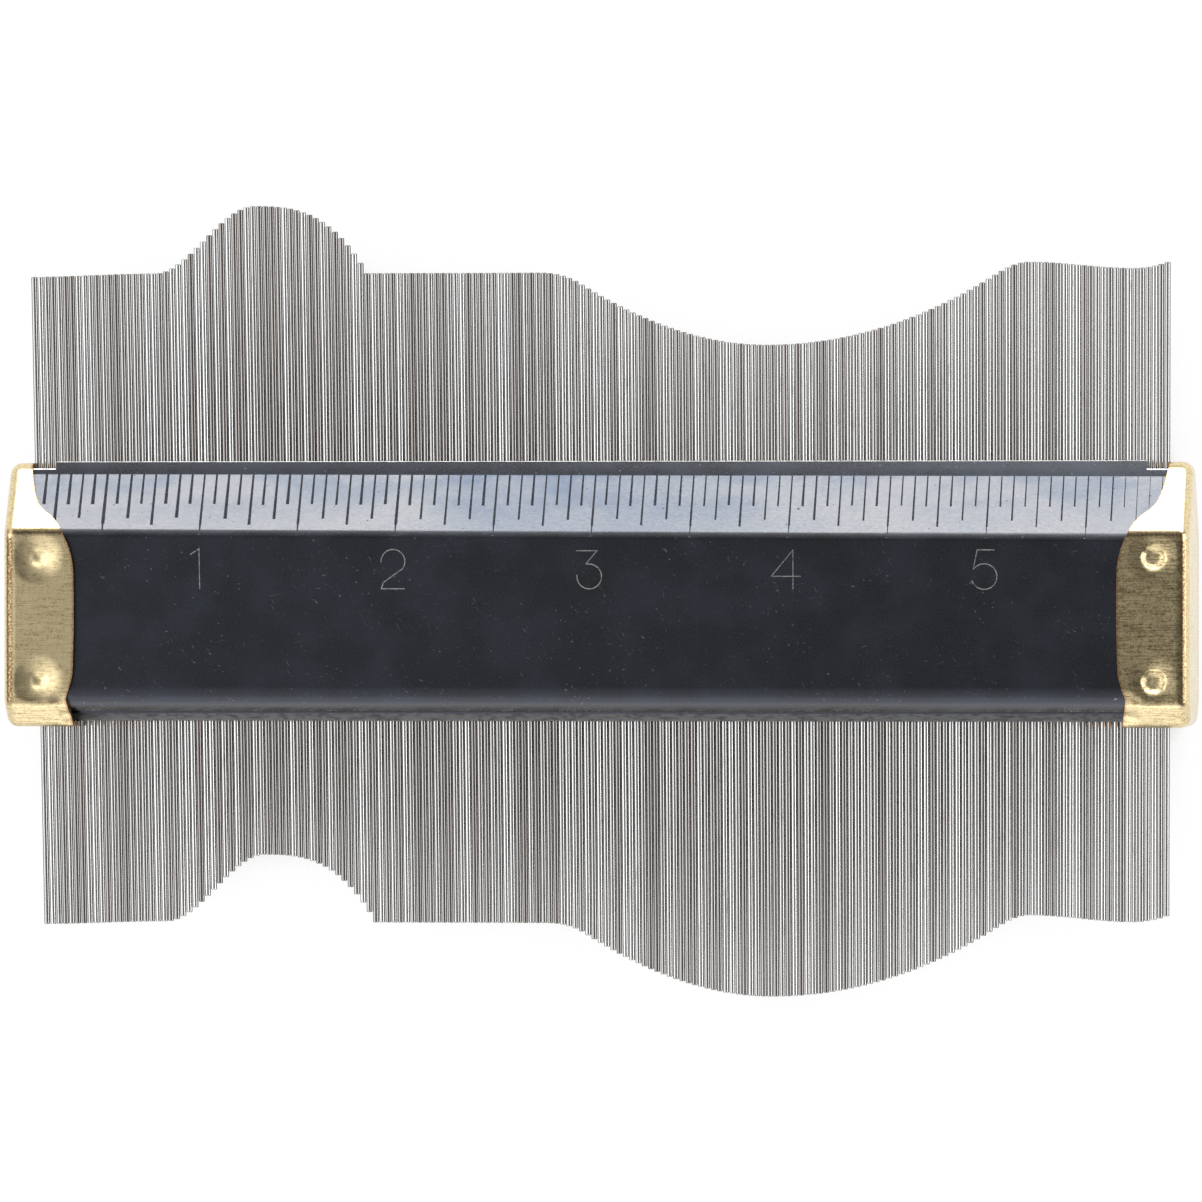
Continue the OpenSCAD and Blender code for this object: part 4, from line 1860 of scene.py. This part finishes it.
@dataclass
class Studio:
    """The white floor, the dim room and the soft lamps around the gauge."""

    floor_radius: float = 4.0
    floor_sides: int = 96
    floor_colour: Colour = (0.82, 0.82, 0.82)
    floor_roughness: float = 0.9
    shade_reach: float = 0.03
    shade_samples: int = 6
    shade_levels: Point = (0.08, 0.40)
    near_way: Triple = (-0.9, -0.5, 0.0)
    far_side: float = 0.17
    near_side: float = 0.78
    near_levels: Point = (0.04, 0.30)
    left_glow: float = 0.2
    left_levels: Point = (0.28, 0.50)
    far_glow: float = 0.7
    far_levels: Point = (0.25, 0.85)
    horizon: float = 0.62
    horizon_levels: Point = (0.05, 0.35)

    def floor(self) -> None:
        """Lays a white floor that lamps still shade a little."""
        bm = bmesh.new()
        bmesh.ops.create_circle(bm, cap_ends=True, segments=self.floor_sides, radius=self.floor_radius)
        make_object("floor", bm, Matrix.Identity(4), [self.floor_material()])

    def floor_material(self) -> bpy.types.Material:
        """White to the camera and in reflections, with a trace of shade.

        Returns:
            The material.
        """
        s = Surface("white_floor")
        s.finish(base_color=self.floor_colour, roughness=self.floor_roughness)
        glow = s.add("ShaderNodeEmission", {}, {"Color": (1.0, 1.0, 1.0), "Strength": 1.0})
        rays = ("Is Camera Ray", "Is Glossy Ray", "Is Transmission Ray")
        share, *others = [s.add("ShaderNodeLightPath", output=name) for name in rays]
        for other in others:
            share = s.add("ShaderNodeMath", {"operation": "MAXIMUM"}, {0: share, 1: other})
        plain = Value(s, s.principled.outputs[0])
        settings, inputs = {"samples": self.shade_samples}, {"Distance": self.shade_reach}
        sky = s.add("ShaderNodeAmbientOcclusion", settings, inputs, output="AO")
        lit = share * s.mask(sky, *self.shade_levels)
        mixed = s.add("ShaderNodeMixShader", {}, {0: lit, 1: plain, 2: glow})
        s.tree.links.new(mixed.socket, s.tree.nodes["Material Output"].inputs["Surface"])
        return s.material

    def room(self) -> None:
        """A grey room: paler to the left and the near side, dimmer to the right and the far side."""
        world = bpy.data.worlds.new("room")
        bpy.context.scene.world = world
        world.use_nodes = True
        s = Shader(world.node_tree, "Generated")
        toward = {0: s.place, 1: self.near_way}
        side = s.add("ShaderNodeVectorMath", {"operation": "DOT_PRODUCT"}, toward, output="Value")
        overhead = s.mask(side, *self.near_levels) * (self.near_side - self.far_side) + self.far_side
        overhead = overhead + s.mask(side, *self.left_levels) * self.left_glow
        overhead = overhead + s.mask(s.axis("Y"), *self.far_levels) * self.far_glow
        level = 1.0 - s.mask(s.axis("Z"), *self.horizon_levels)
        glow = overhead + (self.horizon - overhead) * level
        s.feed(s.tree.nodes["Background"].inputs["Color"], glow)

    def build(self) -> None:
        """Sets up floor, room and lamps."""
        self.floor()
        self.room()
        for lamp in LAMPS:
            lamp.hang()
        bpy.context.scene.view_settings.view_transform = "Standard"


@dataclass
class PhotoCamera:
    """The camera at the photograph's place. Angles are in degrees, lengths in millimetres."""

    body: Body
    azimuth: float = 7.4147
    elevation: float = 0.3402
    roll: float = -0.0370
    distance: float = 1670.78
    focal_pixels: float = 12989.8
    aim: Point = (0.05, -1.304)
    sensor: float = 36.0
    farthest: float = 50000.0

    def build(self) -> None:
        """Places the camera."""
        side, lift = math.radians(self.azimuth), math.radians(self.elevation)
        toward = Vector((math.sin(side) * math.cos(lift), math.sin(lift), math.cos(side) * math.cos(lift)))
        right = Vector((math.cos(side), 0.0, -math.sin(side)))
        turn = Matrix.Rotation(math.radians(self.roll), 4, toward)
        right = (turn @ right).normalized()
        up = toward.cross(right)
        aim = Vector((self.aim[0], self.aim[1] + self.body.mid_y, self.body.needle_z))
        data = bpy.data.cameras.new("photo_camera")
        data.sensor_fit = "HORIZONTAL"
        data.sensor_width = self.sensor
        data.lens = self.focal_pixels / PHOTO_PIXELS * self.sensor
        data.clip_end = self.farthest * MM
        obj = link("photo_camera", data)
        axes = Matrix((right, up, toward)).transposed().to_4x4()
        obj.matrix_world = Matrix.Translation((aim + toward * self.distance) * MM) @ axes
        bpy.context.scene.camera = obj


def main() -> None:
    """Builds the gauge's pieces, the studio and the camera, and reports each piece."""
    logging.basicConfig(level=logging.INFO, format="%(message)s")
    body = Body.from_frame()
    PhotoCamera(body).build()
    sheet = BentSheet(body)
    finishes = Finishes.made_for(sheet)
    for half in (Side.FRONT, Side.REAR):
        Channel(sheet, finishes, half).build()
    EndCap(sheet, finishes, Side.LEFT).build()
    EndCap(
        sheet, finishes, Side.RIGHT, tarnish=0.66, stain=(0.60, 1.0),
        pit_floor=0.75, pit_radius=1.85, pit_depth=0.55, dish_depth=0.22,
    ).build()
    NeedleRow(body, finishes).build()
    Padding(sheet).build()
    Studio().build()


if __name__ == "__main__":
    main()
